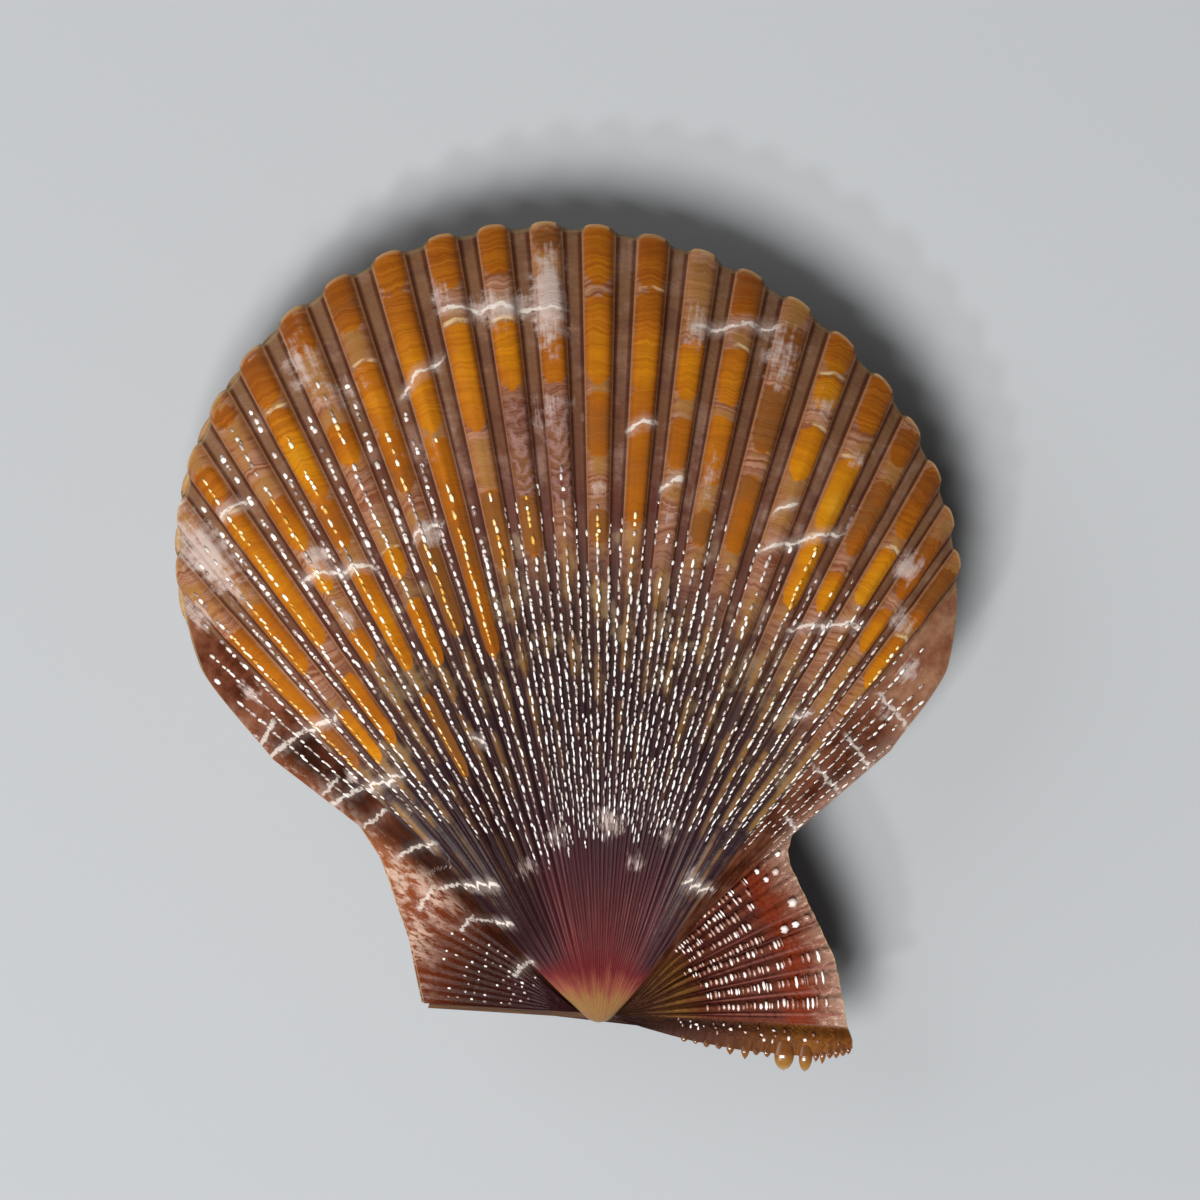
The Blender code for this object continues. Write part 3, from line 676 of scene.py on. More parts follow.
LAST_SCALE = 0.965  # of the way to the margin at most
MOST_IN_A_ROW = 200
LEFT_SEED, RIGHT_SEED = 11, 23


def outer_line(grid, bearings, bearing):
    """One line of growth over the outside, from the beak to the margin."""
    place = np.interp(bearing, bearings, np.arange(len(bearings)))
    low = min(int(place), len(bearings) - 2)
    return grid[:OUTER_ROWS, low] * (low + 1 - place) + grid[:OUTER_ROWS, low + 1] * (place - low)


def disc_rows():
    """For every riblet of the disc: bearing, first and last mm, how sure, how bold, and kind."""
    dense = np.linspace(BACK_FLANK + 0.5, FRONT_FLANK - 0.3, 2000)
    numbers = riblet_numbers(dense)
    rows = []
    for number in range(int(np.ceil(numbers[0])), int(numbers[-1]) + 1):
        bearing = float(np.interp(number, numbers, dense))
        begin = np.interp(bearing, SCALE_BEARINGS, SCALES_BEGIN)
        end = np.interp(bearing, SCALE_BEARINGS, SCALES_END)
        in_groove = number % 2 == 1 and bearing < RIB_BEARINGS[CENTRE_FIRST_RIB]
        rows.append((bearing, begin, end, 0.95, GROOVE_BOLD if in_groove else 1.0, FLAKE))
    return rows


def ear_rows():
    """The same for the ears and the flange; the smooth arc parts plates from knobs."""
    rows = []
    for bearing in EAR_RIB_BEARINGS:
        if bearing < SMOOTH_ARC_ENDS:
            rows.append((bearing, EAR_PLATES_BEGIN, EAR_SMOOTH_FROM, 0.93, 1.0, PLATE))
            rows.append((bearing, EAR_SMOOTH_TO, EAR_KNOBS_TO, 0.95, 1.0, KNOB))
            rows.append((bearing, EAR_KNOBS_TO, EAR_PLATES_END, 0.90, 1.0, PLATE))
        else:
            rows.append((bearing, EAR_PLATES_BEGIN, EAR_PLATES_END, 0.92, 1.0, PLATE))
    for stria in range(2, BACK_EAR_STRIAE):
        bearing = BACK_FLANK - stria * (90.0 + BACK_FLANK) / BACK_EAR_STRIAE
        rows.append((bearing, *BACK_EAR_DASHES, 0.70, 0.45, DASH))
    rows += [(bearing, *FLANGE_DASHES, 0.85, 0.9, DASH) for bearing in FLANGE_SCALES]
    return rows


SCALE_ROWS = disc_rows() + ear_rows()
print(len(SCALE_ROWS), "rows of scales")


# %% Lay the scales
def along_line(line, reached, at):
    """Points of a line at the given distances from the beak."""
    return np.stack([np.interp(at, reached, line[:, axis]) for axis in range(3)], axis=-1)


def lay_scales(grid, is_right, seed):
    """Place, way forwards, way up, width, length, rise, sideways step, bar and ear of each scale."""
    chance = np.random.default_rng(seed)
    bearings = column_bearings(is_right)
    ups = outward(grid) * (-1.0 if is_right else 1.0)
    placed = []
    for bearing, begin, end, sure, bold, (step, width, gain, length, rise) in SCALE_ROWS:
        if bearing > bearings[-1]:
            continue
        line, up_line = outer_line(grid, bearings, bearing), outer_line(ups, bearings, bearing)
        reached = np.linalg.norm(line[:, :2], axis=-1)
        end = min(end * MM * (1.0 + 0.03 * chance.standard_normal()), LAST_SCALE * reached[-1])
        steps = step * MM * (0.55 + 0.9 * chance.random(MOST_IN_A_ROW))
        stops = begin * MM * (1.0 + 0.05 * chance.standard_normal()) + np.cumsum(steps)
        sparser = 1.0 - 0.5 * smooth(0.80, 1.0, stops / end)
        keep = (stops < end) & (chance.random(MOST_IN_A_ROW) < sure * sparser)
        at, long = stops[keep], steps[keep] * length
        place, ahead = along_line(line, reached, at), along_line(line, reached, at + 0.05 * MM)
        grown = 0.55 + 0.45 * smooth(2.0 * MM, 8.0 * MM, at)
        wide = (width * MM + gain * at) * bold * (0.7 + 0.6 * chance.random(len(at)))
        high = rise * MM * grown * (0.7 + 0.6 * chance.random(len(at)))
        aside = 0.012 * MM * chance.standard_normal(len(at))
        up = along_line(up_line, reached, at)
        if bearing > 90.0:
            place[:, 2], ahead[:, 2] = flange_top(place[:, 1]), flange_top(ahead[:, 1])
            up = np.tile((0.0, 0.0, 1.0), (len(at), 1))
        on_bar = ray_marks(valve_ribs(np.full_like(at, bearing), is_right), at)[0]
        on_ear = np.full_like(at, bearing > FRONT_FLANK)
        placed.append(np.column_stack([place, ahead - place, up, wide, long, high, aside, on_bar, on_ear]))
    return np.concatenate(placed)


def bead():
    shape = bmesh.new()
    bmesh.ops.create_icosphere(shape, subdivisions=1, radius=1.0)
    return mesh_of(shape, "bead")


def grow_scales(name, grid, is_right, seed):
    laid = lay_scales(grid, is_right, seed)
    if is_right:
        laid = laid[laid[:, 2] > FLOOR_BELOW_BEAK + 0.20 * MM]
    one = bead()
    shape = bmesh.new()
    for _ in range(len(laid)):
        shape.from_mesh(one)
    mesh = mesh_of(shape, name)
    co = np.empty(len(mesh.vertices) * 3)
    mesh.vertices.foreach_get("co", co)
    x, y, z = co.reshape(len(laid), -1, 3).transpose(2, 0, 1)[..., None]
    place, ahead, up = laid[:, None, 0:3], laid[:, None, 3:6], laid[:, None, 6:9]
    width, length, rise, sideways = (laid[:, None, None, column] for column in (9, 10, 11, 12))
    ahead = ahead / np.linalg.norm(ahead, axis=-1, keepdims=True)
    aside = np.cross(ahead, up)
    up = np.cross(aside, ahead)
    lift = rise * (0.5 * z * (1.0 + 0.5 * y) + SCALE_TILT * y)
    across = x * width / 2 + sideways
    moved = place + aside * across + ahead * y * length / 2 + up * lift + np.array(BEAK)
    mesh.vertices.foreach_set("co", moved.ravel())
    tint = np.repeat(np.random.default_rng(seed + 1).random(len(laid)), len(one.vertices))
    store(mesh, "tint", tint, *np.repeat(laid[:, 13:15], len(one.vertices), axis=0).T)
    shape = bmesh.new()
    shape.from_mesh(mesh)
    bmesh.ops.recalc_face_normals(shape, faces=shape.faces[:])
    shape.to_mesh(mesh)
    shape.free()
    mesh.shade_smooth()
    made = show(name, mesh)
    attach(made, "root")
    print(name, "has", len(laid), "scales and", len(mesh.polygons), "faces")
    return made


left_scales = grow_scales("left_valve_scales", left_points, False, LEFT_SEED)
right_scales = grow_scales("right_valve_scales", right_points, True, RIGHT_SEED)

# %% [markdown]
# ## Spines on the flange
# The hinge edge of the right valve's front ear stands out past the left valve, and carries a comb of
# small teeth. Two of them are large, amber and shaped like tongues. Each starts as a flat disc that is
# pushed out in rings, and is then drawn in at its root and its tip, flattened and bent down.

# %% Make the spines
# Each spine: its place along the hinge, its length past the flange's edge and its half-width, in mm.
SPINES = (
    (1.75, 0.06, 0.07), (1.98, 0.05, 0.06), (2.20, 0.08, 0.07), (2.45, 0.07, 0.07), (2.68, 0.14, 0.08),
    (2.98, 0.18, 0.085), (3.20, 0.08, 0.07), (3.42, 0.10, 0.07), (3.76, 0.33, 0.20), (4.19, 0.31, 0.135),
    (4.40, 0.12, 0.06), (4.53, 0.19, 0.065), (4.67, 0.11, 0.07), (4.80, 0.13, 0.07), (4.93, 0.11, 0.07),
    (5.04, 0.09, 0.05),
)
SPINE_ROOT = 0.40 * MM
SPINE_RINGS, SPINE_SIDES = 14, 20
LONGEST_SPINE = max(length for _, length, _ in SPINES)
TONGUE_LENGTH = 0.25  # in mm; a longer spine is a tongue, and a shorter one a tooth
# How far its sides stay parallel, how bluntly they close, and how deep its root lies in half-widths.
TONGUE_FORM, TOOTH_FORM = (2.2, 0.62, 0.44), (1.4, 0.75, 0.60)
ROOT_WIDTH, ROOT_RISE, SPINE_FLATNESS, SPINE_DROOP = 0.55, 0.45, 0.42, 0.45


def flange_edge(x):
    """The y of the flange's free edge at a place along the hinge, all in mm."""
    corners = sorted(FLANGE[2:])
    return float(np.interp(x, [corner[0] for corner in corners], [corner[1] for corner in corners]))


def add_spine(shape, ripe, x, length, half_width):
    """Pushes a disc out ring by ring, then shapes it; `ripe` keeps how far out each point is."""
    start = set(shape.verts)
    root = min(SPINE_ROOT, 2.4 * half_width * MM)
    whole = length * MM + root
    turn = bmesh.ops.create_circle(shape, cap_ends=True, segments=SPINE_SIDES, radius=half_width * MM)
    tip = [face for face in shape.faces if set(face.verts) <= set(turn["verts"])]
    for _ in range(SPINE_RINGS):
        pushed = bmesh.ops.extrude_face_region(shape, geom=tip)
        tip = [item for item in pushed["geom"] if isinstance(item, bmesh.types.BMFace)]
        moved = [item for item in pushed["geom"] if isinstance(item, bmesh.types.BMVert)]
        bmesh.ops.translate(shape, vec=(0.0, 0.0, whole / SPINE_RINGS), verts=moved)
    edge = flange_edge(x) * MM
    top = flange_top(edge)
    full, power, sunk = TONGUE_FORM if length > TONGUE_LENGTH else TOOTH_FORM
    for vertex in [vertex for vertex in shape.verts if vertex not in start]:
        out = vertex.co.z - root
        along = max(0.0, out) / (length * MM)
        risen = min(1.0, vertex.co.z / root)
        width = ROOT_WIDTH + (1.0 - ROOT_WIDTH) * math.sin(math.pi / 2 * risen)
        width *= max(0.01, 1.0 - along**full) ** power
        centre = top + (ROOT_RISE * risen - sunk) * half_width * MM
        vertex[ripe] = (0.10 + 0.20 * risen + 0.70 * along**0.6) * length / LONGEST_SPINE
        height = centre + vertex.co.y * SPINE_FLATNESS * width - SPINE_DROOP * max(0.0, out) * along
        vertex.co = BEAK + Vector((x * MM + vertex.co.x * width, edge - out, height))


def flange_spines():
    shape = bmesh.new()
    ripe = shape.verts.layers.float.new("ripe")
    for x, length, half_width in SPINES:
        add_spine(shape, ripe, x, length, half_width)
    bmesh.ops.recalc_face_normals(shape, faces=shape.faces[:])
    mesh = mesh_of(shape, "flange_spines")
    mesh.shade_smooth()
    mesh.set_sharp_from_angle(angle=SHARP_ANGLE)
    return show("flange_spines", mesh)


spines = flange_spines()
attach(spines, "root")
print("spines:", len(SPINES), "with", len(spines.data.polygons), "faces")

# %% [markdown]
# ## Small tools for building materials
# A node tree is easier to read as sums than as lists of links. Each helper adds one node, plugs in
# what it is given, whether a number or another node's output, and hands back the result.

# %% Helpers for nodes
def tone(code):
    """A colour from its usual six digits, turned into the linear values that nodes use."""
    parts = [int(code[place:place + 2], 16) / 255.0 for place in (1, 3, 5)]
    linear = [part / 12.92 if part < 0.04045 else ((part + 0.055) / 1.055) ** 2.4 for part in parts]
    return (*linear, 1.0)


def new_finish(name):
    """A new material, its node tree and the inputs of its shader."""
    made = bpy.data.materials.new(name)
    made.use_nodes = True
    return made, made.node_tree, made.node_tree.nodes["Principled BSDF"].inputs


def plug(tree, source, target):
    if isinstance(source, bpy.types.NodeSocket):
        tree.links.new(source, target)
    else:
        target.default_value = source


def calc(tree, operation, *values):
    made = tree.nodes.new("ShaderNodeMath")
    made.operation = operation
    for value, target in zip(values, made.inputs):
        plug(tree, value, target)
    return made.outputs[0]


def times(tree, *values):
    """The product of several numbers."""
    product = values[0]
    for value in values[1:]:
        product = calc(tree, "MULTIPLY", product, value)
    return product


def about_zero(tree, pattern, amount):
    """A pattern between 0 and 1, moved to lie evenly about 0 and scaled."""
    return times(tree, calc(tree, "SUBTRACT", pattern, 0.5), amount)


def fade(tree, value, low, high):
    """0 below low, 1 above high, with an even S between; low may be the larger one."""
    made = tree.nodes.new("ShaderNodeMapRange")
    made.interpolation_type = "SMOOTHSTEP"
    plug(tree, value, made.inputs["Value"])
    plug(tree, min(low, high), made.inputs["From Min"])
    plug(tree, max(low, high), made.inputs["From Max"])
    plug(tree, 0.0 if low < high else 1.0, made.inputs["To Min"])
    plug(tree, 1.0 if low < high else 0.0, made.inputs["To Max"])
    return made.outputs["Result"]


def blend(tree, factor, first, second, mode="MIX"):
    made = tree.nodes.new("ShaderNodeMix")
    made.data_type = "RGBA"
    made.blend_type = mode
    plug(tree, factor, made.inputs["Factor"])
    plug(tree, first, made.inputs[6])
    plug(tree, second, made.inputs[7])
    return made.outputs[2]


def lay(tree, colour, over, *weights):
    """Lays one colour over another, as strongly as the product of the weights says."""
    return blend(tree, times(tree, *weights), colour, tone(over) if isinstance(over, str) else over)


def ramp(tree, value, *stops):
    """A colour ramp from (place, colour code) pairs."""
    made = tree.nodes.new("ShaderNodeValToRGB")
    while len(made.color_ramp.elements) < len(stops):
        made.color_ramp.elements.new(0.5)
    for element, (place, code) in zip(made.color_ramp.elements, stops):
        element.position = place
        element.color = tone(code)
    plug(tree, value, made.inputs["Fac"])
    return made.outputs["Color"]


def noise(tree, vector, scale, detail=3.0, roughness=0.55):
    made = tree.nodes.new("ShaderNodeTexNoise")
    plug(tree, vector, made.inputs["Vector"])
    made.inputs["Scale"].default_value = scale
    made.inputs["Detail"].default_value = detail
    made.inputs["Roughness"].default_value = roughness
    return made.outputs["Fac"]


def vector_of(tree, x, y, z=0.0):
    made = tree.nodes.new("ShaderNodeCombineXYZ")
    for value, target in zip((x, y, z), made.inputs):
        plug(tree, value, target)
    return made.outputs[0]


def parts_of(tree, name):
    """The three numbers that a vertex attribute holds."""
    made = tree.nodes.new("ShaderNodeAttribute")
    made.attribute_name = name
    split = tree.nodes.new("ShaderNodeSeparateXYZ")
    tree.links.new(made.outputs["Vector"], split.inputs[0])
    return split.outputs[0], split.outputs[1], split.outputs[2]


def new_group(name, inputs, outputs):
    """An empty node group with number inputs and outputs."""
    group = bpy.data.node_groups.new(name, "ShaderNodeTree")
    for title, value in inputs:
        made = group.interface.new_socket(title, in_out="INPUT", socket_type="NodeSocketFloat")
        made.default_value = value
    for title in outputs:
        group.interface.new_socket(title, in_out="OUTPUT", socket_type="NodeSocketFloat")
    return group, group.nodes.new("NodeGroupInput").outputs, group.nodes.new("NodeGroupOutput").inputs


def use_group(tree, group, *values):
    made = tree.nodes.new("ShaderNodeGroup")
    made.node_tree = group
    for value, target in zip(values, made.inputs):
        plug(tree, value, target)
    return made.outputs


# %% [markdown]
# ## Growth lines
# The mantle lays shell down in thin bands, so fine lines cross every rib. They bow outwards a little
# on the crest. The group draws them with a noise that is short along the growth and changes from rib
# to rib, and also says how far a point is from its rib's crest.

# %% Group: growth lines
def growth_lines():
    group, given, result = new_group(
        "growth_lines", (("Rib", 0.0), ("Distance", 0.0), ("Spacing", 0.13)), ("Line", "From crest")
    )
    rib, distance, spacing = given[0], given[1], given[2]
    nearest = calc(group, "ROUND", rib)
    off = calc(group, "ABSOLUTE", calc(group, "SUBTRACT", rib, nearest))
    wobble = noise(group, vector_of(group, calc(group, "MULTIPLY", rib, 2.1), distance), 1.2, 2.0)
    bowed = calc(group, "ADD", distance, calc(group, "MULTIPLY", off, 0.12))
    bowed = calc(group, "ADD", bowed, calc(group, "MULTIPLY", wobble, 0.35))
    steps = calc(group, "DIVIDE", bowed, spacing)
    fine = noise(group, vector_of(group, calc(group, "MULTIPLY", nearest, 0.9), steps), 0.8, 3.0, 0.65)
    plug(group, fade(group, fine, 0.36, 0.64), result[0])
    plug(group, off, result[1])
    return group


GROWTH_LINES = growth_lines()

# %% [markdown]
# ## Clouds and streaks
# Pigment drifts slowly along the growth, so the mottling is stretched out that way. One group gives
# it for both valves, and an offset gives another pattern of the same kind.

# %% Group: mottling along the growth
def growth_clouds():
    group, given, result = new_group(
        "growth_clouds",
        (("Rib", 0.0), ("Distance", 0.0), ("Offset", 0.0), ("Across", 1.0), ("Along", 0.85)),
        ("Cloud",),
    )
    across = calc(group, "MULTIPLY", given[0], given[3])
    along = calc(group, "MULTIPLY", given[1], given[4])
    plug(group, noise(group, vector_of(group, across, along, given[2]), 1.0, 5.0, 0.62), result[0])
    return group


GROWTH_CLOUDS = growth_clouds()

# %% [markdown]
# ## Thin white lines
# Where growth paused, the shell left a hair-thin white line, jagged where it crosses each rib. The
# mesh says how far past a line a point is. The group draws the line with a kink on every rib, and
# gives a faint haze on both sides of it.

# %% Group: white lines
def white_lines():
    group, given, result = new_group(
        "white_lines", (("Past", 1.0), ("There", 0.0), ("From crest", 0.0), ("Grit", 0.5)), ("Line", "Haze")
    )
    past, there, off, grit = given[0], given[1], given[2], given[3]
    kink = times(group, calc(group, "SUBTRACT", off, 0.25), 0.30)
    jitter = about_zero(group, grit, 0.30)
    shifted = calc(group, "ABSOLUTE", calc(group, "ADD", past, calc(group, "ADD", kink, jitter)))
    broken = fade(group, grit, 0.66, 0.56)
    plug(group, times(group, fade(group, shifted, 0.056, 0.020), there, broken), result[0])
    plug(group, times(group, fade(group, shifted, 0.260, 0.020), there, grit), result[1])
    return group


WHITE_LINE = white_lines()

# %% [markdown]
# ## The shell's colours, layer by layer
# The colours are laid one over another, as paint would be. First comes the ground: a tan beak, then
# crimson, dark plum, and brown towards the margin. Then come the ribs' crests, the flanks, the orange
# bars and the ears, and last the pale clouds and lines. Each layer is one function, which takes the
# colour so far and hands back the new one.

# %% What the layers read
# Each pattern: its name, its offset, and how finely it changes across the ribs and along the growth.
PATTERNS = (
    ("cloud", 0.0, 0.6, 0.85), ("patch", 7.3, 0.9, 1.3), ("streak", 3.1, 9.0, 0.7), ("grit", 5.7, 4.0, 5.0),
)
LINE_SPACING, STRIPE_SPACING = 0.15, 0.075


def read_shell(tree):
    """What the mesh says about a point, and the patterns that follow its growth."""
    at = {}
    at["rib"], at["distance"], at["riblet"] = parts_of(tree, "growth")
    at["ray"], at["hue"], at["pale"] = parts_of(tree, "marking")
    at["disc"], at["scaly"], at["share"] = parts_of(tree, "form")
    at["outside"], at["ear"], at["turned"] = parts_of(tree, "side")
    at["line"], at["off"] = use_group(tree, GROWTH_LINES, at["rib"], at["distance"], LINE_SPACING)[:2]
    at["stripe"] = use_group(tree, GROWTH_LINES, at["rib"], at["distance"], STRIPE_SPACING)[0]
    for name, offset, across, along in PATTERNS:
        at[name] = use_group(tree, GROWTH_CLOUDS, at["rib"], at["distance"], offset, across, along)[0]
    nearest = calc(tree, "ROUND", at["riblet"])
    at["off_riblet"] = calc(tree, "ABSOLUTE", calc(tree, "SUBTRACT", at["riblet"], nearest))
    at["front"] = fade(tree, at["turned"], -0.10, 0.10)
    return at


# %% The ground and the crests
def ground_layer(tree, at, stops):
    """By age, from the beak out, with plum sides, darkest at the back, and a mottled older part."""
    share = at["share"]
    colour = ramp(tree, calc(tree, "ADD", share, about_zero(tree, at["cloud"], 0.11)), *stops)
    sides = fade(tree, calc(tree, "ABSOLUTE", at["turned"]), 0.20, 0.34)
    young = times(tree, fade(tree, share, 0.12, 0.16), fade(tree, share, 0.44, 0.30))
    colour = lay(tree, colour, "#22141A", sides, young, 0.90)
    flames = times(tree, fade(tree, at["streak"], 0.48, 0.66), young, fade(tree, share, 0.30, 0.18))
    colour = lay(tree, colour, "#8A5448", flames, 0.35)
    thread = fade(tree, at["off_riblet"], 0.30, 0.10)
    groove = fade(tree, at["off_riblet"], 0.30, 0.44)
    colour = lay(tree, colour, "#6E4E4E", thread, young, at["cloud"], 0.50)
    riblets = times(tree, fade(tree, share, 0.66, 0.50), fade(tree, share, 0.08, 0.20))
    colour = lay(tree, colour, "#1E1014", groove, riblets, 0.55)
    grown = fade(tree, share, 0.50, 0.72)
    colour = lay(tree, colour, "#94766A", fade(tree, at["patch"], 0.48, 0.68), grown, 0.50)
    colour = lay(tree, colour, "#45211F", fade(tree, at["cloud"], 0.50, 0.38), grown, 0.65)
    colour = lay(tree, colour, "#5E3A26", fade(tree, at["streak"], 0.46, 0.60), grown, 0.45)
    trough = times(tree, fade(tree, at["off"], 0.37, 0.44), fade(tree, share, 0.72, 0.88))
    colour = lay(tree, colour, "#7C6048", trough, at["patch"], 0.65)
    tan = times(tree, sides, fade(tree, at["off"], 0.26, 0.12), fade(tree, share, 0.20, 0.30))
    tan = times(tree, tan, fade(tree, share, 0.66, 0.50))
    colour = lay(tree, colour, "#6E5032", tan, fade(tree, at["patch"], 0.38, 0.56), 0.55)
    behind = times(tree, sides, calc(tree, "SUBTRACT", 1.0, at["front"]))
    shaded = times(tree, fade(tree, share, 0.14, 0.20), fade(tree, share, 0.46, 0.36))
    colour = lay(tree, colour, "#1E0C0C", behind, shaded, 0.72)
    middle = times(tree, fade(tree, share, 0.44, 0.52), fade(tree, share, 0.72, 0.62))
    return lay(tree, colour, "#7E6A50", middle, fade(tree, at["patch"], 0.52, 0.64), 0.50)


def crest_layer(tree, at, colour):
    """Crests striped by growth lines, brown threads further in, and a tan ledge over painted shade at each
    wall's foot.
    """
    share, off = at["share"], at["off"]
    striped = blend(tree, at["stripe"], tone("#A67A60"), tone("#774229"))
    striped = lay(tree, striped, "#94602A", fade(tree, at["patch"], 0.44, 0.58), 0.75)
    crest = fade(tree, off, 0.34, 0.23)
    colour = lay(tree, colour, striped, crest, fade(tree, share, 0.54, 0.70), 0.72)
    thread = times(tree, fade(tree, off, 0.20, 0.08), fade(tree, share, 0.30, 0.50))
    colour = lay(tree, colour, "#86602E", thread, fade(tree, at["patch"], 0.40, 0.56), 0.52)
    # Painted shade: a dark line where each rib's wall meets the floor, in place of its narrow shadow.
    foot = times(tree, fade(tree, off, 0.30, 0.33), fade(tree, off, 0.42, 0.36))
    colour = lay(tree, colour, "#34180F", foot, fade(tree, share, 0.30, 0.62), 0.70)
    ledge = times(tree, fade(tree, off, 0.265, 0.285), fade(tree, off, 0.325, 0.305))
    return lay(tree, colour, "#9C6A46", ledge, fade(tree, share, 0.45, 0.70), 0.55)


def grain_layer(tree, at, colour):
    """Where three ribs behind the middle are pinkish, in shallow cups, between two bars."""
    turned, share = at["turned"], at["share"]
    where = times(tree, fade(tree, turned, -0.170, -0.120), fade(tree, turned, -0.045, -0.065))
    where = times(tree, where, fade(tree, share, 0.62, 0.69), fade(tree, share, 0.82, 0.76))
    where = times(tree, where, fade(tree, at["off"], 0.36, 0.24))
    shifted = calc(tree, "SUBTRACT", at["distance"], times(tree, at["off"], 0.9))
    shifted = calc(tree, "ADD", shifted, about_zero(tree, at["patch"], 1.4))
    wave = calc(tree, "ADD", times(tree, calc(tree, "SINE", times(tree, shifted, 19.0)), 0.35), 0.5)
    at["grains"] = times(tree, calc(tree, "ADD", wave, about_zero(tree, at["grit"], 1.6)), where)
    colour = lay(tree, colour, "#52302C", where, 0.6)
    return lay(tree, colour, "#8E6A64", fade(tree, at["grains"], 0.30, 0.90), 0.60)


# %% The flanks and the ears
FLANK_BROWNS = ((0.24, "#241008"), (0.42, "#421E10"), (0.60, "#704430"), (0.82, "#967258"))
FRONT_EAR_BROWNS = (
    (0.20, "#40291A"), (0.34, "#64421E"), (0.44, "#54291C"), (0.72, "#5C3024"), (0.79, "#6A2814"),
    (0.85, "#662E1E"), (0.90, "#785040"), (1.0, "#967868"),
)
BACK_EAR_BROWNS = (
    (0.20, "#2A1114"), (0.52, "#2E1209"), (0.66, "#4A1E0C"), (0.82, "#6A3014"), (1.0, "#7E4628"),
)
FLANGE_BROWNS = ((0.16, "#352624"), (0.45, "#4A2E26"), (0.66, "#5E3820"), (0.85, "#73461E"), (1.0, "#643A16"))


def flank_layer(tree, at, colour):
    """Red-brown flanks, dark where they are young and paler in front and near the margin."""
    place = calc(tree, "ADD", about_zero(tree, at["patch"], 0.75), 0.28)
    place = calc(tree, "ADD", place, times(tree, at["front"], 0.20))
    place = calc(tree, "ADD", place, times(tree, fade(tree, at["distance"], 7.9, 8.8), 0.22))
    return lay(tree, colour, ramp(tree, place, *FLANK_BROWNS), fade(tree, at["disc"], 0.75, 0.25))


def ear_layer(tree, at, colour):
    """Each ear by its distance from the beak, with dark grooves, smooth ridges and cream flecks."""
    out = calc(tree, "ADD", times(tree, at["distance"], 0.2), about_zero(tree, at["patch"], 0.12))
    front = ramp(tree, out, *FRONT_EAR_BROWNS)
    groove = times(tree, fade(tree, at["off_riblet"], 0.24, 0.36), fade(tree, out, 0.82, 0.70))
    front = lay(tree, front, "#2E0F0E", groove, 0.75)
    ridge = times(tree, fade(tree, at["off_riblet"], 0.40, 0.47), fade(tree, at["turned"], 0.62, 0.65))
    front = lay(tree, front, "#7E4A40", ridge, fade(tree, out, 0.40, 0.55), 0.70)
    back = ramp(tree, out, *BACK_EAR_BROWNS)
    ears = blend(tree, at["front"], back, front)
    fleck = times(tree, fade(tree, at["grit"], 0.54, 0.64), fade(tree, out, 0.80, 1.0))
    ears = lay(tree, ears, "#BFA08E", fleck, 0.70)
    behind = calc(tree, "SUBTRACT", 1.0, at["front"])
    veil = times(tree, fade(tree, at["cloud"], 0.44, 0.54), fade(tree, at["grit"], 0.38, 0.54))
    ears = lay(tree, ears, "#AE9280", veil, fade(tree, out, 0.62, 0.82), behind, 0.85)
    flange = ramp(tree, out, *FLANGE_BROWNS)
    flange = lay(tree, flange, "#34190C", at["stripe"], 0.50)
    ears = blend(tree, fade(tree, at["turned"], 1.0, 1.012), ears, flange)
    return lay(tree, colour, ears, at["ear"])


# %% The bars, clouds and lines
HUES = (
    (0.0, "#6E4420"), (0.2, "#884A10"), (0.42, "#9C5A0E"), (0.62, "#B06E0A"), (0.8, "#AE740E"),
    (1.0, "#BA8A30"),
)


def bar_layer(tree, at, colour, strength):
    """Orange bars with slightly ragged sides, striped across where they near the margin."""
    inside = fade(tree, calc(tree, "ADD", at["ray"], about_zero(tree, at["grit"], 0.5)), 0.25, 0.68)
    hue = calc(tree, "ADD", at["hue"], about_zero(tree, at["patch"], 0.6))
    orange = ramp(tree, calc(tree, "SUBTRACT", hue, times(tree, at["off"], 0.45)), *HUES)
    orange = lay(tree, orange, "#6E2E08", at["stripe"], fade(tree, at["share"], 0.72, 0.94), 0.55)
    orange = lay(tree, orange, "#7A4208", at["line"], 0.22)
    return lay(tree, colour, orange, inside, strength)


def pale_layer(tree, at, colour):
    """Pale clouds in the growth, white lines where it paused, and the haze beside them."""
    lines, hazes = 0.0, 0.0
    kinked = times(tree, at["off"], at["disc"])
    for past, there in zip(parts_of(tree, "line_past"), parts_of(tree, "line_there")):
        line, haze = use_group(tree, WHITE_LINE, past, there, kinked, at["grit"])[:2]
        lines, hazes = calc(tree, "MAXIMUM", lines, line), calc(tree, "MAXIMUM", hazes, haze)
    cap_past, cap_there, _ = parts_of(tree, "cap")
    cap = use_group(tree, WHITE_LINE, cap_past, cap_there, kinked, at["patch"])[0]
    colour = lay(tree, colour, "#D2B88E", cap, fade(tree, at["patch"], 0.44, 0.56), 0.60)
    ragged = calc(tree, "ADD", at["pale"], about_zero(tree, at["grit"], 1.5))
    ragged = calc(tree, "ADD", ragged, about_zero(tree, at["streak"], 1.3))
    cloud = times(tree, fade(tree, at["pale"], 0.05, 0.45), fade(tree, ragged, 0.30, 0.95))
    colour = lay(tree, colour, "#AE9C94", cloud, 0.85)
    colour = lay(tree, colour, "#B4A49C", hazes, calc(tree, "ADD", 0.15, times(tree, at["disc"], 0.45)))
    return lay(tree, colour, "#D2C8BE", lines, calc(tree, "ADD", 0.56, times(tree, at["disc"], 0.20)))


# %% Material: mottled shell
BUMP_HEIGHT = 0.032 * MM


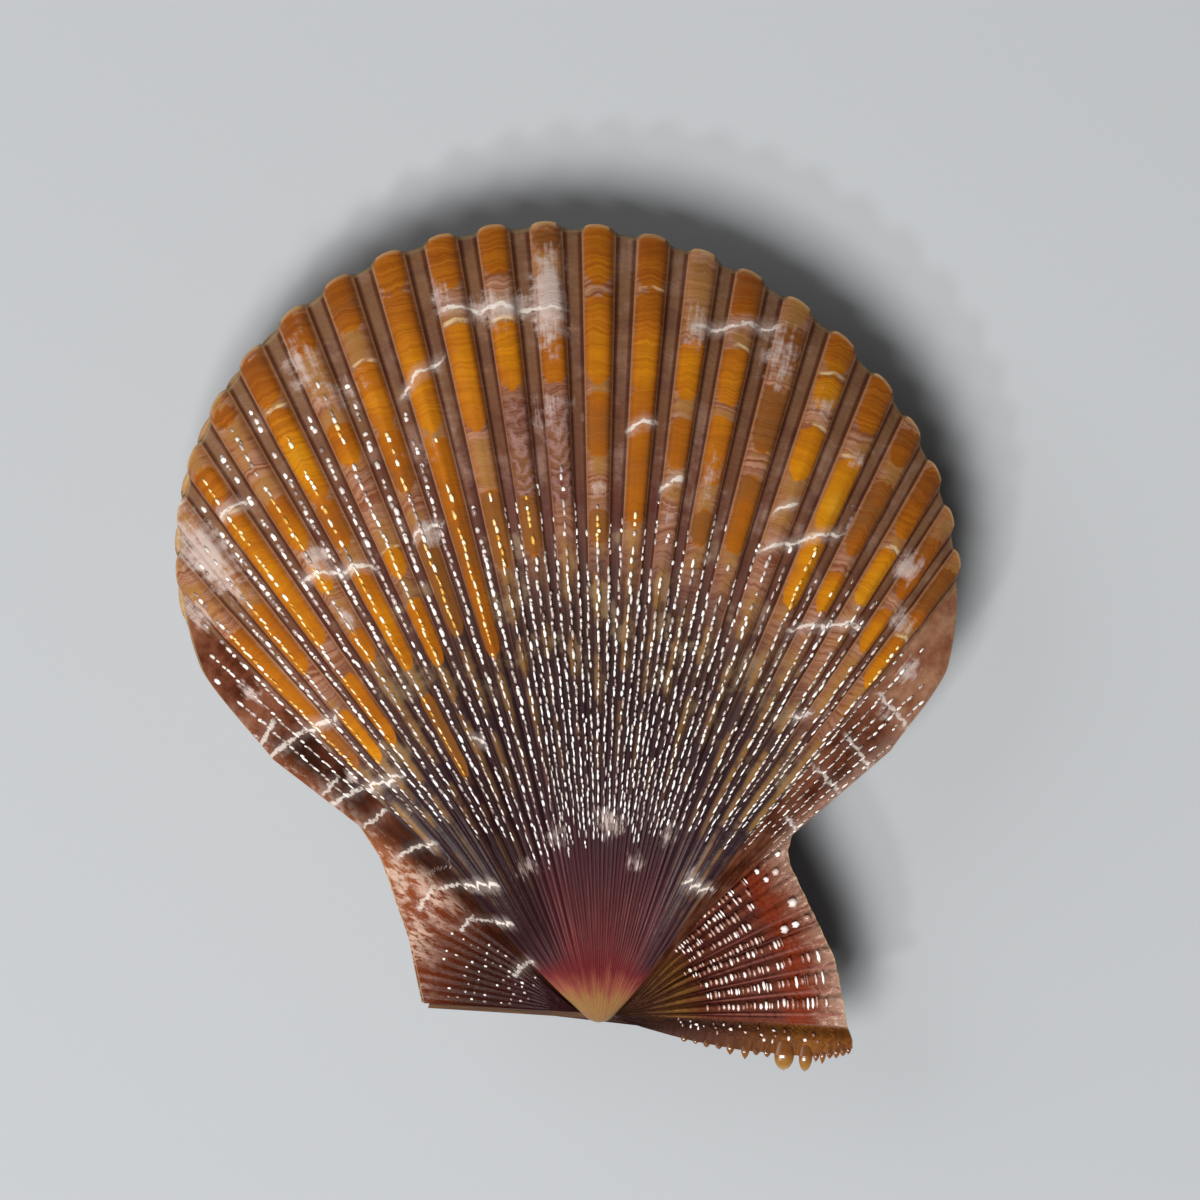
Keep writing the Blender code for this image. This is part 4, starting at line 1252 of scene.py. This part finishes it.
def shell_finish(name, ground_stops, bar_strength):
    made, tree, sockets = new_finish(name)
    at = read_shell(tree)
    colour = ground_layer(tree, at, ground_stops)
    colour = crest_layer(tree, at, colour)
    colour = grain_layer(tree, at, colour)
    colour = flank_layer(tree, at, colour)
    colour = bar_layer(tree, at, colour, bar_strength)
    colour = ear_layer(tree, at, colour)
    colour = pale_layer(tree, at, colour)
    colour = lay(tree, colour, "#A08A66", fade(tree, at["share"], 0.993, 0.999), 0.50)
    plug(tree, blend(tree, at["outside"], tone("#7A5C58"), colour), sockets["Base Color"])

    smoother = times(tree, at["scaly"], 0.12)
    rough = calc(tree, "ADD", calc(tree, "SUBTRACT", 0.34, smoother), times(tree, at["grit"], 0.16))
    plug(tree, rough, sockets["Roughness"])
    sockets["Specular IOR Level"].default_value = 0.03
    sockets["Coat Weight"].default_value = 0.02
    sockets["Coat Roughness"].default_value = 0.08

    height = times(tree, at["line"], calc(tree, "ADD", 0.15, times(tree, at["ear"], 0.50)))
    height = calc(tree, "ADD", height, times(tree, at["grit"], fade(tree, at["share"], 0.20, 0.55), 0.30))
    height = calc(tree, "ADD", height, times(tree, at["grains"], 0.50))
    bump = tree.nodes.new("ShaderNodeBump")
    bump.inputs["Strength"].default_value = 1.0
    bump.inputs["Distance"].default_value = BUMP_HEIGHT
    plug(tree, height, bump.inputs["Height"])
    plug(tree, bump.outputs["Normal"], sockets["Normal"])
    return made


LEFT_GROUND = (
    (0.0, "#86633A"), (0.075, "#805C36"), (0.095, "#7A4234"), (0.125, "#5C2224"), (0.18, "#461A1E"),
    (0.24, "#37181D"), (0.31, "#28171C"), (0.44, "#2E2022"), (0.57, "#43302C"), (0.66, "#55362E"),
    (0.80, "#5E3C2A"), (1.0, "#64422A"),
)
RIGHT_GROUND = (
    (0.0, "#9C7C50"), (0.075, "#94724A"), (0.12, "#764038"), (0.24, "#5E3434"), (0.38, "#5C3A38"),
    (0.55, "#7C564A"), (0.75, "#8A664E"), (1.0, "#94754F"),
)
mottled = shell_finish("mottled_shell_finish", LEFT_GROUND, 0.96)
pale_mottled = shell_finish("pale_mottled_shell_finish", RIGHT_GROUND, 0.85)
left_skin.data.materials.append(mottled)
right_skin.data.materials.append(pale_mottled)

# %% [markdown]
# ## The scales' finish
# A scale is a thin flake of clear shell. Its tint lies between that of what it stands on, brown,
# amber or the red of the front ear, and nearly white. The near-white end is partly the flake's own
# pale colour and partly a painted glint. Each one has its own tint, and all are glossy.

# %% Material: scales
def scale_finish_with_painted_glints(name):
    made, tree, sockets = new_finish(name)
    tint, on_bar, on_ear = parts_of(tree, "tint")
    place = tree.nodes.new("ShaderNodeTexCoord").outputs["Object"]
    spots = noise(tree, place, 6000.0, 2.0)
    mixed = calc(tree, "ADD", times(tree, tint, 0.8), times(tree, spots, 0.2))
    # The near-white end of each ramp is partly the scales' own pale colour and partly a painted glint.
    on_ground = ramp(tree, mixed, (0.10, "#7A655C"), (0.35, "#A2928A"), (0.60, "#CEC4BC"), (0.85, "#ECE8E2"))
    on_amber = ramp(tree, mixed, (0.10, "#B57B1E"), (0.35, "#CC9E48"), (0.60, "#E2CA90"), (0.85, "#F4ECD4"))
    on_red = ramp(tree, mixed, (0.10, "#6A4034"), (0.35, "#A07868"), (0.58, "#D0BAB0"), (0.80, "#F0E8E2"))
    colour = blend(tree, on_bar, on_ground, on_amber)
    plug(tree, blend(tree, on_ear, colour, on_red), sockets["Base Color"])
    plug(tree, calc(tree, "ADD", 0.10, times(tree, spots, 0.14)), sockets["Roughness"])
    sockets["Coat Weight"].default_value = 0.3
    return made


scale_gloss = scale_finish_with_painted_glints("scale_finish_with_painted_glints")
left_scales.data.materials.append(scale_gloss)
right_scales.data.materials.append(scale_gloss)

# %% [markdown]
# ## Amber spines and the ligament
# A spine is brown where it leaves the flange and clears to amber as it gets longer, so the short ones
# stay brown. The ligament is dried horn, with fine fibres that run along the hinge. The fibres read
# Object coordinates, which are metres here.

# %% Materials: amber and horn
AMBER_BROWNS = ((0.0, "#4E2C16"), (0.3, "#6A3E18"), (0.6, "#744A1A"), (0.9, "#86622A"), (1.0, "#987A3C"))
HORN_BROWNS = ((0.3, "#20120A"), (0.5, "#4A2E16"), (0.7, "#7A5428"))
FIBRE_SCALES = (800.0, 9000.0, 9000.0)


def amber_finish():
    made, tree, sockets = new_finish("amber_spine_finish")
    ripe = tree.nodes.new("ShaderNodeAttribute")
    ripe.attribute_name = "ripe"
    place = tree.nodes.new("ShaderNodeTexCoord").outputs["Object"]
    spots = noise(tree, place, 9000.0, 3.0)
    mixed = calc(tree, "ADD", ripe.outputs["Fac"], about_zero(tree, spots, 0.3))
    plug(tree, ramp(tree, mixed, *AMBER_BROWNS), sockets["Base Color"])
    plug(tree, calc(tree, "ADD", 0.14, times(tree, spots, 0.16)), sockets["Roughness"])
    sockets["Coat Weight"].default_value = 0.3
    return made


def horn_finish():
    made, tree, sockets = new_finish("dried_ligament_finish")
    place = tree.nodes.new("ShaderNodeTexCoord").outputs["Object"]
    stretched = tree.nodes.new("ShaderNodeVectorMath")
    stretched.operation = "MULTIPLY"
    plug(tree, place, stretched.inputs[0])
    stretched.inputs[1].default_value = FIBRE_SCALES
    fibres = noise(tree, stretched.outputs[0], 1.0, 4.0)
    plug(tree, ramp(tree, fibres, *HORN_BROWNS), sockets["Base Color"])
    plug(tree, calc(tree, "ADD", 0.5, times(tree, fibres, 0.3)), sockets["Roughness"])
    sockets["Specular IOR Level"].default_value = 0.2
    return made


spines.data.materials.append(amber_finish())
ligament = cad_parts["ligament"]
ligament.data.materials.clear()
ligament.data.materials.append(horn_finish())

# %% [markdown]
# ## Floor, light and camera
# The shell lies on a plain pale floor under soft studio light. The main light stands high on the
# hinge side, as in the photo, where the backs of the scales catch it and the smooth margin doesn't.
# A small one beside it makes the sharp glints, and a broad weak one fills from the left. The camera
# looks straight down, as the photo does, and is turned 3.1 degrees so that the hinge line slopes the
# same way.

# %% Stage
FLOOR_HALF = 0.30
KEY_WATTS, GLINT_WATTS, FILL_WATTS = 0.85, 0.18, 0.25
LIT_POINT = Vector((0.0, 0.0, 0.003))


def pale_floor():
    shape = bmesh.new()
    bmesh.ops.create_grid(shape, x_segments=1, y_segments=1, size=FLOOR_HALF)
    mesh = mesh_of(shape, "floor")
    paper, _, sockets = new_finish("pale_floor")
    sockets["Base Color"].default_value = tone("#9A9C9E")
    sockets["Roughness"].default_value = 0.9
    mesh.materials.append(paper)
    show("floor", mesh)


def soft_light(name, place, watts, size):
    lamp = bpy.data.lights.new(name, "AREA")
    lamp.energy = watts
    lamp.size = size
    made = show(name, lamp)
    made.location = place
    made.rotation_euler = (LIT_POINT - Vector(place)).to_track_quat("-Z", "Y").to_euler()


pale_floor()
soft_light("key", (-0.04, -0.09, 0.22), KEY_WATTS, 0.09)
soft_light("glint", (-0.09, -0.16, 0.20), GLINT_WATTS, 0.02)
soft_light("fill", (-0.20, 0.10, 0.16), FILL_WATTS, 0.20)
world = bpy.data.worlds.new("studio")
world.use_nodes = True
world.node_tree.nodes["Background"].inputs["Color"].default_value = tone("#E4E7EA")
world.node_tree.nodes["Background"].inputs["Strength"].default_value = 0.10
bpy.context.scene.world = world

# %% Camera
PHOTO_TURN = math.radians(3.1)
VIEW_CENTRE = Vector((-0.406 * MM, 8.230 * MM, 0.0))
VIEW_WIDTH = 24.0 * MM
LENS, SENSOR = 180.0, 36.0

camera_data = bpy.data.cameras.new("camera")
camera_data.lens = LENS
camera_data.sensor_width = SENSOR
camera_data.clip_start = 1.0 * MM
camera = show("camera", camera_data)
height = VIEW_WIDTH * LENS / SENSOR
camera.location = BEAK + VIEW_CENTRE + Vector((0.0, 0.0, height))
camera.rotation_euler = (0.0, 0.0, PHOTO_TURN)
bpy.context.scene.camera = camera
bpy.context.scene.view_settings.view_transform = "Standard"
print("camera", round(height / MM, 1), "mm above the hinge plane")

# %% [markdown]
# ## Finish

# %% Finish
print("scene built")
